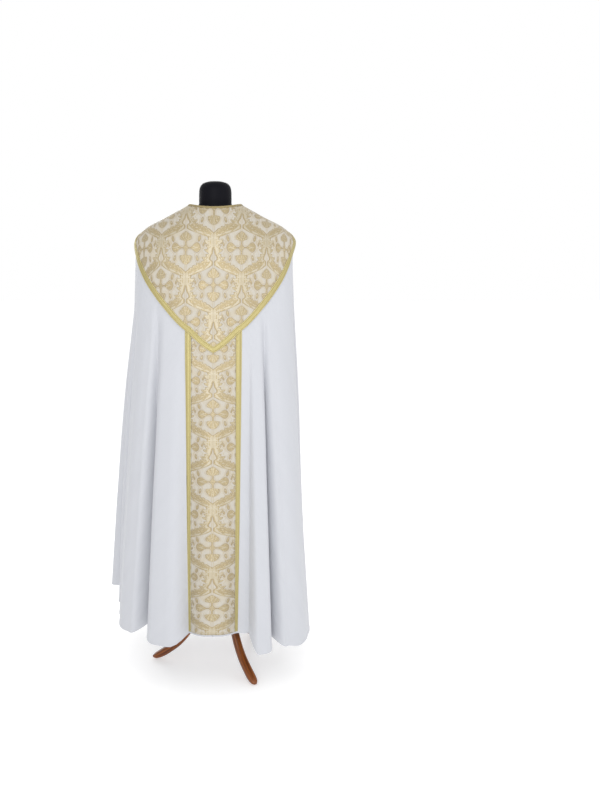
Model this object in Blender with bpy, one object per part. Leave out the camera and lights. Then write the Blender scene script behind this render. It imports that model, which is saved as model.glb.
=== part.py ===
"""Cope vestment on a tripod dress form. Metres, +Z up, the back of the cope faces +Y.

Every cloth piece is a thin wall on one draped surface.  A point of that surface has a
cloth place (c, d): d is the distance down from the neck edge, c runs round one half of
the cope: 0 the front edge, 1 the outer edge of the front orphrey, 2 the outer edge of the
pillar orphrey, 3 the middle of the back.
"""
import math

import bmesh
import bpy
import numpy as np

for thing in list(bpy.data.objects):
    bpy.data.objects.remove(thing)

# ------------------------------------------------------------------ named sizes
LENGTH = 1.46            # neck edge to hem
WALL = 0.0020            # white cope cloth
LAYER = 0.0012           # brocade and braid
GAP = 0.0003
SELVEDGE = 0.010         # white edge beyond the front brocade
FRONT_BROCADE = 0.144
FRONT_BRAID = 0.028
PILLAR_BROCADE = 0.150
PILLAR_BRAID = 0.020
HOOD_BRAID = 0.019
HEM_EDGE = 0.006
FRONT_ZONE = SELVEDGE + FRONT_BROCADE + FRONT_BRAID
BACK_ZONE = PILLAR_BROCADE / 2 + PILLAR_BRAID

# the draped body, a row per level: distance down the cloth, then where that level passes
# the side, the middle of the front and the middle of the back; the two squares round the
# plan, and lean is how much wider the wearer's left side hangs than the right
RING_COLUMNS = ("d", "side_x", "side_y", "side_z", "front_y", "front_z", "back_y", "back_z",
                "front_square", "back_square", "lean")
RING = np.array([
    (0.000, 0.0860, 0.000, 1.574, 0.082, 1.490, 0.068, 1.565, 2.00, 2.00, 0.000),
    (0.090, 0.1660, 0.000, 1.530, 0.114, 1.410, 0.102, 1.484, 2.10, 2.10, 0.000),
    (0.180, 0.2430, 0.000, 1.486, 0.131, 1.326, 0.119, 1.398, 2.30, 2.30, 0.000),
    (0.225, 0.2700, 0.000, 1.454, 0.137, 1.284, 0.125, 1.355, 2.40, 2.40, 0.000),
    (0.270, 0.2690, 0.000, 1.409, 0.142, 1.242, 0.130, 1.311, 2.45, 2.45, 0.003),
    (0.420, 0.2740, 0.010, 1.260, 0.154, 1.105, 0.143, 1.164, 2.40, 2.40, 0.005),
    (0.750, 0.2950, 0.040, 0.935, 0.178, 0.812, 0.173, 0.838, 2.40, 2.50, 0.013),
    (1.100, 0.3080, 0.065, 0.588, 0.206, 0.505, 0.210, 0.492, 2.35, 2.60, 0.020),
    (1.460, 0.3190, 0.080, 0.225, 0.235, 0.187, 0.238, 0.172, 2.30, 2.70, 0.022)])

# half the front opening, by distance down
OPENING = np.array([
    (0.00, 0.0125), (0.04, 0.0060), (0.09, 0.0120), (0.20, 0.0100),
    (0.45, 0.0040), (0.80, 0.0040), (1.46, 0.0060)])

# the folds, a row per crest or trough: cloth place c, how far it stands out at the hem,
# the distance down at which it begins, how much lower its hem hangs
FOLDS = {
    "left": np.array([
        (0.000, -0.026, 0.45, -0.012),
        (0.420, 0.006, 0.45, 0.000),
        (0.860, -0.012, 0.40, 0.004),
        (1.000, 0.028, 0.30, 0.024),
        (1.045, -0.030, 0.30, -0.004),
        (1.085, 0.016, 0.34, -0.026),
        (1.130, -0.045, 0.30, -0.040),
        (1.210, 0.030, 0.36, -0.054),
        (1.300, 0.034, 0.36, -0.040),
        (1.375, 0.036, 0.40, -0.006),
        (1.425, -0.030, 0.36, -0.012),
        (1.475, 0.010, 0.50, 0.030),
        (1.515, -0.030, 0.40, 0.010),
        (1.580, 0.024, 0.50, 0.040),
        (1.655, 0.044, 0.45, 0.052),
        (1.712, 0.038, 0.50, 0.048),
        (1.765, -0.055, 0.34, 0.004),
        (1.845, 0.036, 0.50, 0.044),
        (1.910, 0.034, 0.50, 0.040),
        (2.010, -0.015, 0.50, 0.002),
        (3.000, 0.036, 0.50, -0.010)]),
    "right": np.array([
        (0.000, -0.024, 0.45, -0.012),
        (0.420, 0.006, 0.45, 0.000),
        (0.860, -0.012, 0.40, 0.004),
        (1.000, 0.028, 0.30, 0.022),
        (1.055, -0.040, 0.28, -0.010),
        (1.120, 0.028, 0.34, -0.010),
        (1.185, 0.020, 0.34, -0.014),
        (1.235, -0.045, 0.28, -0.030),
        (1.300, 0.020, 0.36, -0.034),
        (1.380, 0.016, 0.36, -0.024),
        (1.430, -0.028, 0.36, -0.010),
        (1.500, 0.018, 0.50, 0.070),
        (1.590, 0.044, 0.45, 0.092),
        (1.690, 0.056, 0.45, 0.086),
        (1.765, 0.038, 0.50, 0.072),
        (1.812, -0.050, 0.34, 0.026),
        (1.868, 0.042, 0.45, 0.064),
        (1.910, 0.040, 0.45, 0.062),
        (1.940, -0.010, 0.46, 0.006),
        (2.010, -0.015, 0.50, 0.002),
        (3.000, 0.036, 0.50, -0.010)])}
BULGE = 0.17             # how much each fold swells sideways, per metre of its depth
SWELL = 0.20             # and at most this share of its width
TROUGH_GROWS, CREST_GROWS = 0.8, 1.1     # troughs deepen early, crests late
PILLAR_TUCK = 0.12       # how much of its width the pillar loses to its own bow at the hem

# the lower edge of the hood and its yoke fronts: degrees round from the front, distance down
HOOD_EDGE = np.array([
    (0.0, 0.078), (21.5, 0.087), (33.8, 0.099), (48.5, 0.123), (62.2, 0.153), (76.5, 0.183),
    (88.0, 0.214), (96.0, 0.238), (105.8, 0.268), (113.0, 0.294), (124.8, 0.328),
    (137.0, 0.358), (147.5, 0.386), (161.0, 0.428), (166.5, 0.443), (180.0, 0.503)])

# the dress form, a row per level: height, half width, depth to front, depth to back
FORM = np.array([
    (1.6560, 0.0240, 0.024, 0.024), (1.6500, 0.0420, 0.042, 0.042),
    (1.6380, 0.0520, 0.052, 0.052), (1.6210, 0.0555, 0.055, 0.055),
    (1.5980, 0.0560, 0.055, 0.055), (1.5720, 0.0600, 0.054, 0.052),
    (1.5470, 0.0960, 0.048, 0.054), (1.5240, 0.1420, 0.052, 0.064),
    (1.4980, 0.1820, 0.060, 0.075), (1.4740, 0.2050, 0.069, 0.084),
    (1.4400, 0.2150, 0.082, 0.092), (1.4050, 0.2120, 0.094, 0.100),
    (1.3400, 0.1920, 0.112, 0.106), (1.2500, 0.1680, 0.120, 0.107),
    (1.1500, 0.1500, 0.106, 0.102), (1.0500, 0.1380, 0.095, 0.094),
    (0.9600, 0.1500, 0.104, 0.102), (0.8700, 0.1660, 0.116, 0.112),
    (0.8200, 0.1680, 0.118, 0.112), (0.8000, 0.1600, 0.112, 0.106)])

# a leg, a row per section: reach from the middle, height of the middle, thickness, width
LEG = np.array([
    (0.0403, 0.262, 0.044, 0.026), (0.0640, 0.228, 0.033, 0.026),
    (0.0810, 0.176, 0.028, 0.026), (0.0970, 0.130, 0.026, 0.026),
    (0.1210, 0.090, 0.026, 0.027), (0.1500, 0.058, 0.026, 0.028),
    (0.1830, 0.034, 0.026, 0.029), (0.2080, 0.019, 0.024, 0.029),
    (0.2260, 0.011, 0.018, 0.024), (0.2350, 0.008, 0.010, 0.013)])
LEG_TURN = {"form_leg_1": -31.0, "form_leg_2": 89.0, "form_leg_3": 209.0}
STAND = np.array([-0.018, 0.030, 0.0])     # the stand's axis, a little behind the neck's

ROWS = [0.0, 0.045, 0.09, 0.135, 0.18, 0.2025, 0.225, 0.27, 0.34, 0.42, 0.50,
        0.70, 0.94, 1.20, LENGTH]
PILLAR_ROW = 8           # the pillar starts under the hood, at this row
HOOD_ROWS = 11           # the hood uses the rows above this one, then its own edge
NARROW = 0.07            # a fold narrower than this has one column between crest and trough

# how far each layer lies from the middle of the white cloth, inner side and outer side
BAND_LAYER = (WALL / 2 + GAP, WALL / 2 + GAP + LAYER)
HOOD_EASE = 0.0008       # the hood lies loose over the bands
HOOD_LAYER = (BAND_LAYER[1] + GAP + HOOD_EASE, BAND_LAYER[1] + GAP + HOOD_EASE + LAYER)
BRAID_LAYER = (HOOD_LAYER[1] + GAP, HOOD_LAYER[1] + GAP + LAYER)
BINDING_LIFT = 0.0005    # the neck binding bows a little more than the braid
BINDING_WIDTH = 0.007
BINDING_LAYER = (BRAID_LAYER[0] + BINDING_LIFT, BRAID_LAYER[1] + BINDING_LIFT)


# ------------------------------------------------------------------ the draped surface
def smooth(x, xs, ys):
    """A smooth curve through a table's points."""
    h = np.diff(xs)
    k = np.diff(ys) / h
    m = np.empty(len(xs))
    m[0], m[-1] = k[0], k[-1]
    m[1:-1] = (k[:-1] * h[1:] + k[1:] * h[:-1]) / (h[:-1] + h[1:])
    i = np.clip(np.searchsorted(xs, x) - 1, 0, len(h) - 1)
    t = (x - xs[i]) / h[i]
    return ((2 * t**3 - 3 * t**2 + 1) * ys[i] + (t**3 - 2 * t**2 + t) * h[i] * m[i]
            + (3 * t**2 - 2 * t**3) * ys[i + 1] + (t**3 - t**2) * h[i] * m[i + 1])


def ring_at(d):
    return {name: float(smooth(np.array(d), RING[:, 0], RING[:, k]))
            for k, name in enumerate(RING_COLUMNS)}


def ease(x):
    x = np.clip(x, 0.0, 1.0)
    return x * x * (3 - 2 * x)


def fold_at(side, c, d, span):
    """How far the folds move cloth place (c, d): outward, round and down."""
    table = FOLDS[side]
    i = np.clip(np.searchsorted(table[:, 0], c, side="right") - 1, 0, len(table) - 2)
    width = table[i + 1, 0] - table[i, 0]
    t = (c - table[i, 0]) / width
    grown = []
    for k in (i, i + 1):
        power = np.where(table[k, 1] < 0, TROUGH_GROWS, CREST_GROWS)
        down = np.clip((d - table[k, 2]) / (LENGTH - table[k, 2]), 0, 1)
        grown.append(down ** power * ease((d - table[k, 2]) / 0.12))
    start, end = table[i, 1] * grown[0], table[i + 1, 1] * grown[1]
    falls = start >= end
    share = (0.5 - 0.5 * np.cos(math.pi * np.where(falls, t, 1 - t))) ** 1.25
    out = np.maximum(start, end) - np.abs(start - end) * share
    swell = np.minimum(BULGE * np.abs(start - end), SWELL * width * span)
    round_ = np.where(falls, 1, -1) * swell * np.sin(math.pi * t)
    soft = 0.5 - 0.5 * np.cos(math.pi * t)
    drop = (table[i, 3] + (table[i + 1, 3] - table[i, 3]) * soft) * (d / LENGTH) ** 4
    return out, round_, drop


def drape(side, c, d, folded=True):
    """Points of the draped surface for an array of c at one distance d; +X is the left half."""
    c = np.asarray(c, float)
    r = ring_at(d)
    sign = 1 if side == "left" else -1
    turn = np.radians(np.linspace(0, 180, 361))
    s, k = np.sin(turn), np.cos(turn)
    e = 2 / np.where(k > 0, r["front_square"], r["back_square"])
    wide = r["side_x"] + sign * r["lean"] * ease(1 - np.abs(k))
    x = wide * np.abs(s) ** e
    y = np.where(k > 0, -r["front_y"], r["back_y"]) * np.abs(k) ** e - r["side_y"] * s * s
    z = r["side_z"] + (np.where(k > 0, r["front_z"], r["back_z"]) - r["side_z"]) * k * k
    along = np.concatenate([[0], np.cumsum(np.hypot(np.diff(x), np.diff(y)))])
    size = 0.55 + 0.45 * ease(d / 0.09)
    first = float(np.interp(d, OPENING[:, 0], OPENING[:, 1]))
    last = along[-1]
    a, b = first + FRONT_ZONE * size, last - BACK_ZONE * size * (1 - PILLAR_TUCK * (d / LENGTH) ** 2)
    place = np.interp(c, [0, 1, 2, 3], [first, a, b, last])
    out, drop = 0.0, 0.0
    if folded:
        out, round_, drop = fold_at(side, c, d, b - a)
        place = np.clip(place + round_, 0, last)
    nx, ny = np.gradient(y, along), -np.gradient(x, along)
    nx[0], ny[0], nx[-1], ny[-1] = 0, -1, 0, 1
    length = np.hypot(nx, ny)
    px = np.interp(place, along, x) + np.interp(place, along, nx / length) * out
    py = np.interp(place, along, y) + np.interp(place, along, ny / length) * out
    pz = np.interp(place, along, z) - drop
    return np.stack([px * sign, py, pz], -1)


def sheet(side, columns, rows, folded=True):
    """Grid of surface points and outward normals; rows may be one list per column."""
    columns = np.asarray(columns, float)
    rows = np.asarray(rows, float)
    if rows.ndim == 1:
        rows = np.repeat(rows[:, None], len(columns), 1)
    points, normals = np.empty(rows.shape + (3,)), np.empty(rows.shape + (3,))
    h = 0.003
    sign = 1 if side == "left" else -1
    for k in range(rows.shape[0]):
        for j in range(rows.shape[1]):
            d, c = rows[k, j], columns[j]
            before, here, after = drape(side, [max(c - h, 0), c, min(c + h, 3)], d, folded)
            up = drape(side, [c], max(d - h, 0), folded)[0]
            down = drape(side, [c], min(d + h, LENGTH), folded)[0]
            n = np.cross(down - up, after - before) * sign
            if c > 2.999:
                n[0] = 0.0
            points[k, j], normals[k, j] = here, n / np.linalg.norm(n)
    return points, normals


# ------------------------------------------------------------------ making solids
def paint(name, colour, rough=0.8, metal=0.0):
    mat = bpy.data.materials.new(name)
    mat.use_nodes = True
    shader = mat.node_tree.nodes["Principled BSDF"]
    shader.inputs["Base Color"].default_value = (*colour, 1)
    shader.inputs["Roughness"].default_value = rough
    shader.inputs["Metallic"].default_value = metal
    mat.diffuse_color = (*colour, 1)
    return mat


def body(name, points, faces, colour, rough=0.8, metal=0.0):
    mesh = bpy.data.meshes.new(name)
    mesh.from_pydata([tuple(p) for p in points], [], faces)
    bm = bmesh.new()
    bm.from_mesh(mesh)
    bmesh.ops.recalc_face_normals(bm, faces=bm.faces)
    bm.to_mesh(mesh)
    bm.free()
    mesh.materials.append(paint(name, colour, rough, metal))
    thing = bpy.data.objects.new(name, mesh)
    bpy.context.scene.collection.objects.link(thing)
    return thing


def wall(name, points, normals, low, high, colour, rough=0.8, metal=0.0, middle=None):
    """A closed thin wall between two offsets of one grid of surface points.

    Past the middle column the squares are split the other way, as in the right half.
    """
    n_rows, n_cols = points.shape[:2]
    middle = n_cols if middle is None else middle
    index = -np.ones((n_rows, n_cols), int)
    kept = []
    for j in range(n_cols):
        for k in range(n_rows):
            if k and np.linalg.norm(points[k, j] - points[k - 1, j]) < 1e-4:
                index[k, j] = index[k - 1, j]
            else:
                index[k, j] = len(kept)
                kept.append((k, j))
    triangles = []
    for k in range(n_rows - 1):
        for j in range(n_cols - 1):
            a, b, c, d = index[k, j], index[k, j + 1], index[k + 1, j + 1], index[k + 1, j]
            for t in ((a, b, c), (a, c, d)) if j < middle else ((a, b, d), (b, c, d)):
                if len(set(t)) == 3:
                    triangles.append(t)
    n = len(kept)
    inner = [points[q] + normals[q] * low for q in kept]
    outer = [points[q] + normals[q] * high for q in kept]
    faces = [tuple(t) for t in triangles] + [tuple(i + n for i in reversed(t)) for t in triangles]
    edges = {}
    for t in triangles:
        for i in range(3):
            edges[(t[i], t[(i + 1) % 3])] = 1
    for p, q in edges:
        if (q, p) not in edges:
            faces.append((q, p, p + n, q + n))
    return body(name, inner + outer, faces, colour, rough, metal)


def both(left, right):
    """One grid from the left half's and the right half's grids, meeting mid back."""
    joined = []
    for a, b in zip(left, right):
        joined.append(np.concatenate([a, b[:, -2::-1]], 1))
    middle = len(left[0][0]) - 1
    joined[0][:, middle, 0] = 0
    joined[1][:, middle, 0] = 0
    joined[1] /= np.linalg.norm(joined[1], axis=-1, keepdims=True)
    return joined


def lathe(name, rings, colour, rough=0.8, metal=0.0):
    """A solid skinned over rings of points, closed at both ends."""
    n = len(rings[0])
    points = [p for ring in rings for p in ring]
    faces = []
    for k in range(len(rings) - 1):
        for j in range(n):
            a, b = k * n + j, k * n + (j + 1) % n
            faces.append((a, b, b + n, a + n))
    faces += [tuple(range(n)), tuple((len(rings) - 1) * n + j for j in reversed(range(n)))]
    return body(name, points, faces, colour, rough, metal)


# ------------------------------------------------------------------ columns of the cloth
def fold_columns(side):
    places = [0.0, SELVEDGE / FRONT_ZONE, 0.32, 0.58,
              (SELVEDGE + FRONT_BROCADE) / FRONT_ZONE, 1.0]
    table = [row[0] for row in FOLDS[side] if 1.0 < row[0] < 2.0]
    places.append(table[0])
    for a, b in zip(table[:-1], table[1:]):
        places += list(np.linspace(a, b, 3 if b - a < NARROW else 4)[1:])
    places += [2.0, 2 + PILLAR_BRAID / BACK_ZONE, 2.47, 2.74, 3.0]
    return np.array(places)


COLUMNS = {side: fold_columns(side) for side in ("left", "right")}
WHITE = (0.80, 0.82, 0.86)
BROCADE = (0.66, 0.55, 0.38)
GOLD = (0.62, 0.52, 0.20)
DARK_GOLD = (0.40, 0.30, 0.12)
WOOD = (0.25, 0.07, 0.02)
BLACK = (0.02, 0.02, 0.025)


def turn_of(side, c, d):
    """Degrees round from the front at which place (c, d) lies."""
    p = drape(side, [c], d, folded=False)[0]
    r = ring_at(d)
    front = p[1] + r["side_y"] < 0
    depth = r["front_y"] if front else r["back_y"]
    e = (r["front_square"] if front else r["back_square"]) / 2
    angle = math.degrees(math.atan2((abs(p[0]) / r["side_x"]) ** e, (abs(p[1]) / depth) ** e))
    return angle if front else 180 - angle


def edge_of(side, columns):
    """The distance down at which each column meets the lower edge of the hood."""
    edge = []
    for c in columns:
        above, below = 0.0, 0.55
        for _ in range(24):
            middle = (above + below) / 2
            if middle < np.interp(turn_of(side, c, middle), HOOD_EDGE[:, 0], HOOD_EDGE[:, 1]):
                above = middle
            else:
                below = middle
        edge.append(above)
    return np.array(edge)


def braid_side(side, columns, edge):
    """The inner side of the hood's braid, square to the edge and mitred at the point."""
    here = np.array([drape(side, [c], d, False)[0] for c, d in zip(columns, edge)])
    inner = []
    for j, (c, d) in enumerate(zip(columns, edge)):
        run = here[min(j + 1, len(columns) - 1)] - here[max(j - 1, 0)]
        down = here[j] - drape(side, [c], d - 0.01, False)[0]
        sine = np.linalg.norm(np.cross(run, down)) / np.linalg.norm(run) / np.linalg.norm(down)
        inner.append(d - HOOD_BRAID / max(sine, 0.45))
    return np.array(inner)


hood_halves = []
for side in ("left", "right"):
    columns = COLUMNS[side]
    # the white cope: its own half, a hair short of the middle of the back
    half = columns.copy()
    half[-1] = 3.0 - GAP / 2 / BACK_ZONE
    wall("mantle_" + side, *sheet(side, half, ROWS), -WALL / 2, WALL / 2, WHITE)

    # front orphrey and its braid, from under the yoke to just above the hem
    rows = ROWS[1:-1] + [LENGTH - HEM_EDGE]
    band = columns[1:5].copy()
    band[-1] -= GAP / 2 / FRONT_ZONE
    wall("front_orphrey_" + side, *sheet(side, band, rows), *BAND_LAYER, BROCADE)
    band = columns[4:6].copy()
    band[0] += GAP / 2 / FRONT_ZONE
    wall("front_galloon_" + side, *sheet(side, band, rows), *BAND_LAYER, GOLD, 0.4, 0.7)

    # the braid of the pillar
    rows = ROWS[PILLAR_ROW:-1] + [LENGTH - HEM_EDGE]
    band = columns[-5:-3].copy()
    band[1] -= GAP / 2 / BACK_ZONE
    wall("back_galloon_" + side, *sheet(side, band, rows), *BAND_LAYER, GOLD, 0.4, 0.7)

    edge = edge_of(side, columns)
    inner = braid_side(side, columns, edge)
    # the braid bends where the mantle's own row passes under it
    bend = [next((d for d in ROWS if a + 0.002 < d < b - 0.002), (a + b) / 2)
            for a, b in zip(inner, edge)]
    rows = [np.minimum(d, inner) for d in ROWS[:HOOD_ROWS]] + [bend, edge]
    hood_halves.append(sheet(side, columns, np.array(rows), folded=False))

# pillar orphrey
rows = ROWS[PILLAR_ROW:-1] + [LENGTH - HEM_EDGE]
halves = []
for side in ("left", "right"):
    band = COLUMNS[side][-4:].copy()
    band[0] += GAP / 2 / BACK_ZONE
    halves.append(sheet(side, band, rows))
wall("back_orphrey", *both(*halves), *BAND_LAYER, BROCADE, middle=3)

# hood, its braid and its neck binding, one above the other
hood = both(*hood_halves)
middle = len(COLUMNS["left"]) - 1
wall("hood", *hood, *HOOD_LAYER, BROCADE, middle=middle)
wall("hood_galloon", hood[0][-3:], hood[1][-3:], *BRAID_LAYER, GOLD, 0.4, 0.7, middle)
halves = []
for side in ("left", "right"):
    count = len(COLUMNS[side])
    few = [0, 1, 2, 3, 4, 5] + list(range(7, count - 5, 4)) + list(range(count - 5, count))
    halves.append(sheet(side, COLUMNS[side][few], [0.0, BINDING_WIDTH], folded=False))
wall("neck_binding", *both(*halves), *BINDING_LAYER, DARK_GOLD, 0.6, 0.0, len(few) - 1)

# ------------------------------------------------------------------ clasp
ROSETTE_LOBES = 8
ROSETTE_HALF = (0.0205, 0.0245)            # half width, half height
ROSETTE_PLACE, ROSETTE_DOWN = 0.165, 0.036
CHAIN_PLACE, CHAIN_DOWN, CHAIN_LIFT = 0.026, 0.0385, 0.0055
CHAIN_SAG = 0.004


def on_hood(side, c, d, lift):
    points, normals = sheet(side, [c], [d], folded=False)
    return points[0, 0] + normals[0, 0] * lift, normals[0, 0]


for side, sign in (("left", 1), ("right", -1)):
    centre, n = on_hood(side, ROSETTE_PLACE, ROSETTE_DOWN, BRAID_LAYER[1] + BINDING_LIFT)
    across = np.cross(n, (0, 0, 1.0))
    across /= np.linalg.norm(across)
    up = np.cross(across, n)
    rings = []
    for share, lift in ((1.0, 0.0), (1.0, 0.0016), (0.62, 0.0030), (0.30, 0.0052)):
        ring = []
        for k in range(ROSETTE_LOBES * 4):
            a = math.tau * k / (ROSETTE_LOBES * 4)
            lobe = 1 - 0.10 * (0.5 - 0.5 * math.cos(ROSETTE_LOBES * a)) * (share > 0.9)
            ring.append(centre + across * math.cos(a) * ROSETTE_HALF[0] * share * lobe
                        + up * math.sin(a) * ROSETTE_HALF[1] * share * lobe + n * lift)
        rings.append(ring)
    lathe("clasp_rosette_" + side, rings, (0.75, 0.50, 0.08), 0.3, 1.0)

# the chain: one beaded bar that sags between the rosettes
left_end, n = on_hood("left", CHAIN_PLACE, CHAIN_DOWN, WALL / 2 + 3 * LAYER + CHAIN_LIFT)
reach = left_end[0]
rings = []
beads, steps = 4, 6
for k in range(beads * steps + 1):
    t = k / (beads * steps)
    x = reach * (1 - 2 * t)
    sag = CHAIN_SAG * (1 - (2 * t - 1) ** 2)
    size = 0.0011 + 0.0017 * abs(math.sin(math.pi * t * beads))
    rings.append([(x, left_end[1] + size * math.cos(a), left_end[2] - sag + size * math.sin(a))
                  for a in [math.tau * q / 8 for q in range(8)]])
lathe("clasp_chain", rings, (0.75, 0.50, 0.08), 0.3, 1.0)

# ------------------------------------------------------------------ dress form
rings = []
for z, half, front, back in FORM:
    ring = []
    for k in range(28):
        a = math.tau * k / 28
        s, c = math.sin(a), math.cos(a)
        depth = -front if c > 0 else back
        ring.append((half * s, depth * abs(c), z))
    rings.append(ring)
lathe("form_torso", rings, BLACK, 0.7)

HUB_TOP, HUB_LOW, HUB_FLAT = 0.335, 0.215, 0.040
POST = ((HUB_TOP + GAP, 0.016), (0.40, 0.016), (0.70, 0.016), (0.76, 0.020), (FORM[-1][0] - GAP, 0.030))
rings = []
for z, r in POST:
    rings.append([(STAND[0] + r * math.cos(math.tau * k / 16),
                   STAND[1] + r * math.sin(math.tau * k / 16), z) for k in range(16)])
lathe("form_post", rings, WOOD, 0.35)
turn = math.radians(90 - LEG_TURN["form_leg_1"] + 30)
rings = []
for z, r in ((HUB_LOW - 0.012, 0.55), (HUB_LOW, 1.0), (HUB_TOP - 0.015, 1.0), (HUB_TOP, 0.7)):
    r *= HUB_FLAT / math.cos(math.pi / 6)
    rings.append([(STAND[0] + r * math.cos(turn + math.tau * k / 6),
                   STAND[1] + r * math.sin(turn + math.tau * k / 6), z) for k in range(6)])
lathe("form_hub", rings, WOOD, 0.35)

for name, degrees in LEG_TURN.items():
    a = math.radians(degrees)
    way = np.array([math.sin(a), math.cos(a), 0])
    across = np.array([math.cos(a), -math.sin(a), 0])
    rings = []
    for k, (reach, height, thick, wide) in enumerate(LEG):
        i0, i1 = max(k - 1, 0), min(k + 1, len(LEG) - 1)
        run = way * (LEG[i1][0] - LEG[i0][0]) + np.array([0, 0, LEG[i1][1] - LEG[i0][1]])
        run /= np.linalg.norm(run)
        if k == 0:
            run = way
        over = np.cross(run, across)
        over /= np.linalg.norm(over)
        if over[2] < 0:
            over = -over
        ring = []
        for q in range(12):
            t = math.tau * (q + 0.5) / 12
            u, v = math.cos(t), math.sin(t)
            u, v = [math.copysign(abs(w) ** 0.75, w) for w in (u, v)]
            p = STAND + way * reach + across * u * wide / 2 + over * v * thick / 2
            p[2] += height
            if k >= 6 and v < 0:
                p[2] = 0.0 if abs(v) > 0.6 else max(p[2], 0.0008)
            ring.append(p)
        rings.append(ring)
    lathe(name, rings, WOOD, 0.3)

# ------------------------------------------------------------------ to the shared origin
low, high = np.full(3, 1e9), np.full(3, -1e9)
for thing in bpy.context.scene.objects:
    for v in thing.data.vertices:
        low, high = np.minimum(low, v.co), np.maximum(high, v.co)
shift = np.array([-(low[0] + high[0]) / 2, -(low[1] + high[1]) / 2, -low[2]])
for thing in bpy.context.scene.objects:
    for v in thing.data.vertices:
        v.co = [a + b for a, b in zip(v.co, shift)]
    thing.data.update()
print("size", high - low, "shift", shift)
print("triangles", sum(len(f.vertices) - 2 for o in bpy.context.scene.objects for f in o.data.polygons))
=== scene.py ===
# %% [markdown]
# # A cope on its dress form
# A cope is a half circle of white cloth, worn like a cloak. Two brocade bands run down its front
# edges, a third, the pillar, runs down the back, and a shield of brocade, the hood, lies over
# the shoulders. Here it stands on a black dress form with three wooden legs. We load the frame
# that the CAD model gives, keep its box, and find the upright line through the neck, because
# every distance below is measured from it. The stand's post is a little behind that line.

# %% Load the frame
import math

import bmesh
import bpy
import numpy as np
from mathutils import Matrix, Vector


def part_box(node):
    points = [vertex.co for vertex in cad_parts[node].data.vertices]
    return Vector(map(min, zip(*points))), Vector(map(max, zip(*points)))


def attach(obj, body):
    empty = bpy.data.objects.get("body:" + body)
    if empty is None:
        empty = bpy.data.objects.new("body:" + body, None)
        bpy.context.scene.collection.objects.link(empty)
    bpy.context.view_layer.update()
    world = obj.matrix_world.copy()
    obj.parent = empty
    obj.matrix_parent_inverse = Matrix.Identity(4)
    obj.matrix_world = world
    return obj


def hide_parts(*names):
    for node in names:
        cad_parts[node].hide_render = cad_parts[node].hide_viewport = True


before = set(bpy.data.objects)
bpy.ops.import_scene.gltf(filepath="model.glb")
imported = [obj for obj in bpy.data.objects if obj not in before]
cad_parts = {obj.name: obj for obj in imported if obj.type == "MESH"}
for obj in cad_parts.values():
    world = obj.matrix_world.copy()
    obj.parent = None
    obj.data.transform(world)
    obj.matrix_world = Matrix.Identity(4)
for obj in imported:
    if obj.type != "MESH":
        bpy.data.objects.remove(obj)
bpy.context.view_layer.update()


def middle_of(node):
    """The middle of a CAD node's box, seen from above."""
    low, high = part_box(node)
    return Vector(((low[0] + high[0]) / 2, (low[1] + high[1]) / 2, 0.0))


CHEST_AHEAD = 0.004
AXIS = middle_of("form_torso") + Vector((0, CHEST_AHEAD, 0))
POST_AXIS = middle_of("form_post")

# %% [markdown]
# ## The sizes of the cloth
# The same few sizes and tables as in the CAD model: how long the cope is, how wide each band is,
# where the body under it pushes the cloth out, and where the folds fall. A place on the cloth has
# two numbers. `d` is the distance down from the neck. `c` runs round one half of the cope: 0 at
# the front edge, 1 where the front band ends, 2 where the pillar begins, 3 at the middle of the
# back.

# %% Sizes in metres
LENGTH = 1.46
WALL = 0.0020
LAYER = 0.0012
GAP = 0.0003
SELVEDGE = 0.010
FRONT_BROCADE = 0.144
FRONT_BRAID = 0.028
PILLAR_BROCADE = 0.150
PILLAR_BRAID = 0.020
HOOD_BRAID = 0.019
BINDING = 0.007
HEM_EDGE = 0.006
HEM_TURN = 0.006
FRONT_ZONE = SELVEDGE + FRONT_BROCADE + FRONT_BRAID
BACK_ZONE = PILLAR_BROCADE / 2 + PILLAR_BRAID
BAND_TOP = 0.045
PILLAR_TOP = 0.34

# how the cloth hangs with no folds: distance down, then the side, the front and the back
RING_COLUMNS = ("d", "side_x", "side_y", "side_z", "front_y", "front_z", "back_y", "back_z",
                "front_square", "back_square", "lean")
RING = np.array([
    (0.000, 0.0860, 0.000, 1.574, 0.082, 1.490, 0.068, 1.565, 2.00, 2.00, 0.000),
    (0.090, 0.1660, 0.000, 1.530, 0.114, 1.410, 0.102, 1.484, 2.10, 2.10, 0.000),
    (0.180, 0.2430, 0.000, 1.486, 0.131, 1.326, 0.119, 1.398, 2.30, 2.30, 0.000),
    (0.225, 0.2700, 0.000, 1.454, 0.137, 1.284, 0.125, 1.355, 2.40, 2.40, 0.000),
    (0.270, 0.2690, 0.000, 1.409, 0.142, 1.242, 0.130, 1.311, 2.45, 2.45, 0.003),
    (0.420, 0.2740, 0.010, 1.260, 0.154, 1.105, 0.143, 1.164, 2.40, 2.40, 0.005),
    (0.750, 0.2950, 0.040, 0.935, 0.178, 0.812, 0.173, 0.838, 2.40, 2.50, 0.013),
    (1.100, 0.3080, 0.065, 0.588, 0.206, 0.505, 0.210, 0.492, 2.35, 2.60, 0.020),
    (1.460, 0.3190, 0.080, 0.225, 0.235, 0.187, 0.238, 0.172, 2.30, 2.70, 0.022)])

# half the front opening, by distance down
OPENING = np.array([
    (0.00, 0.0125), (0.04, 0.0060), (0.09, 0.0120), (0.20, 0.0100),
    (0.45, 0.0040), (0.80, 0.0040), (1.46, 0.0060)])

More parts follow.
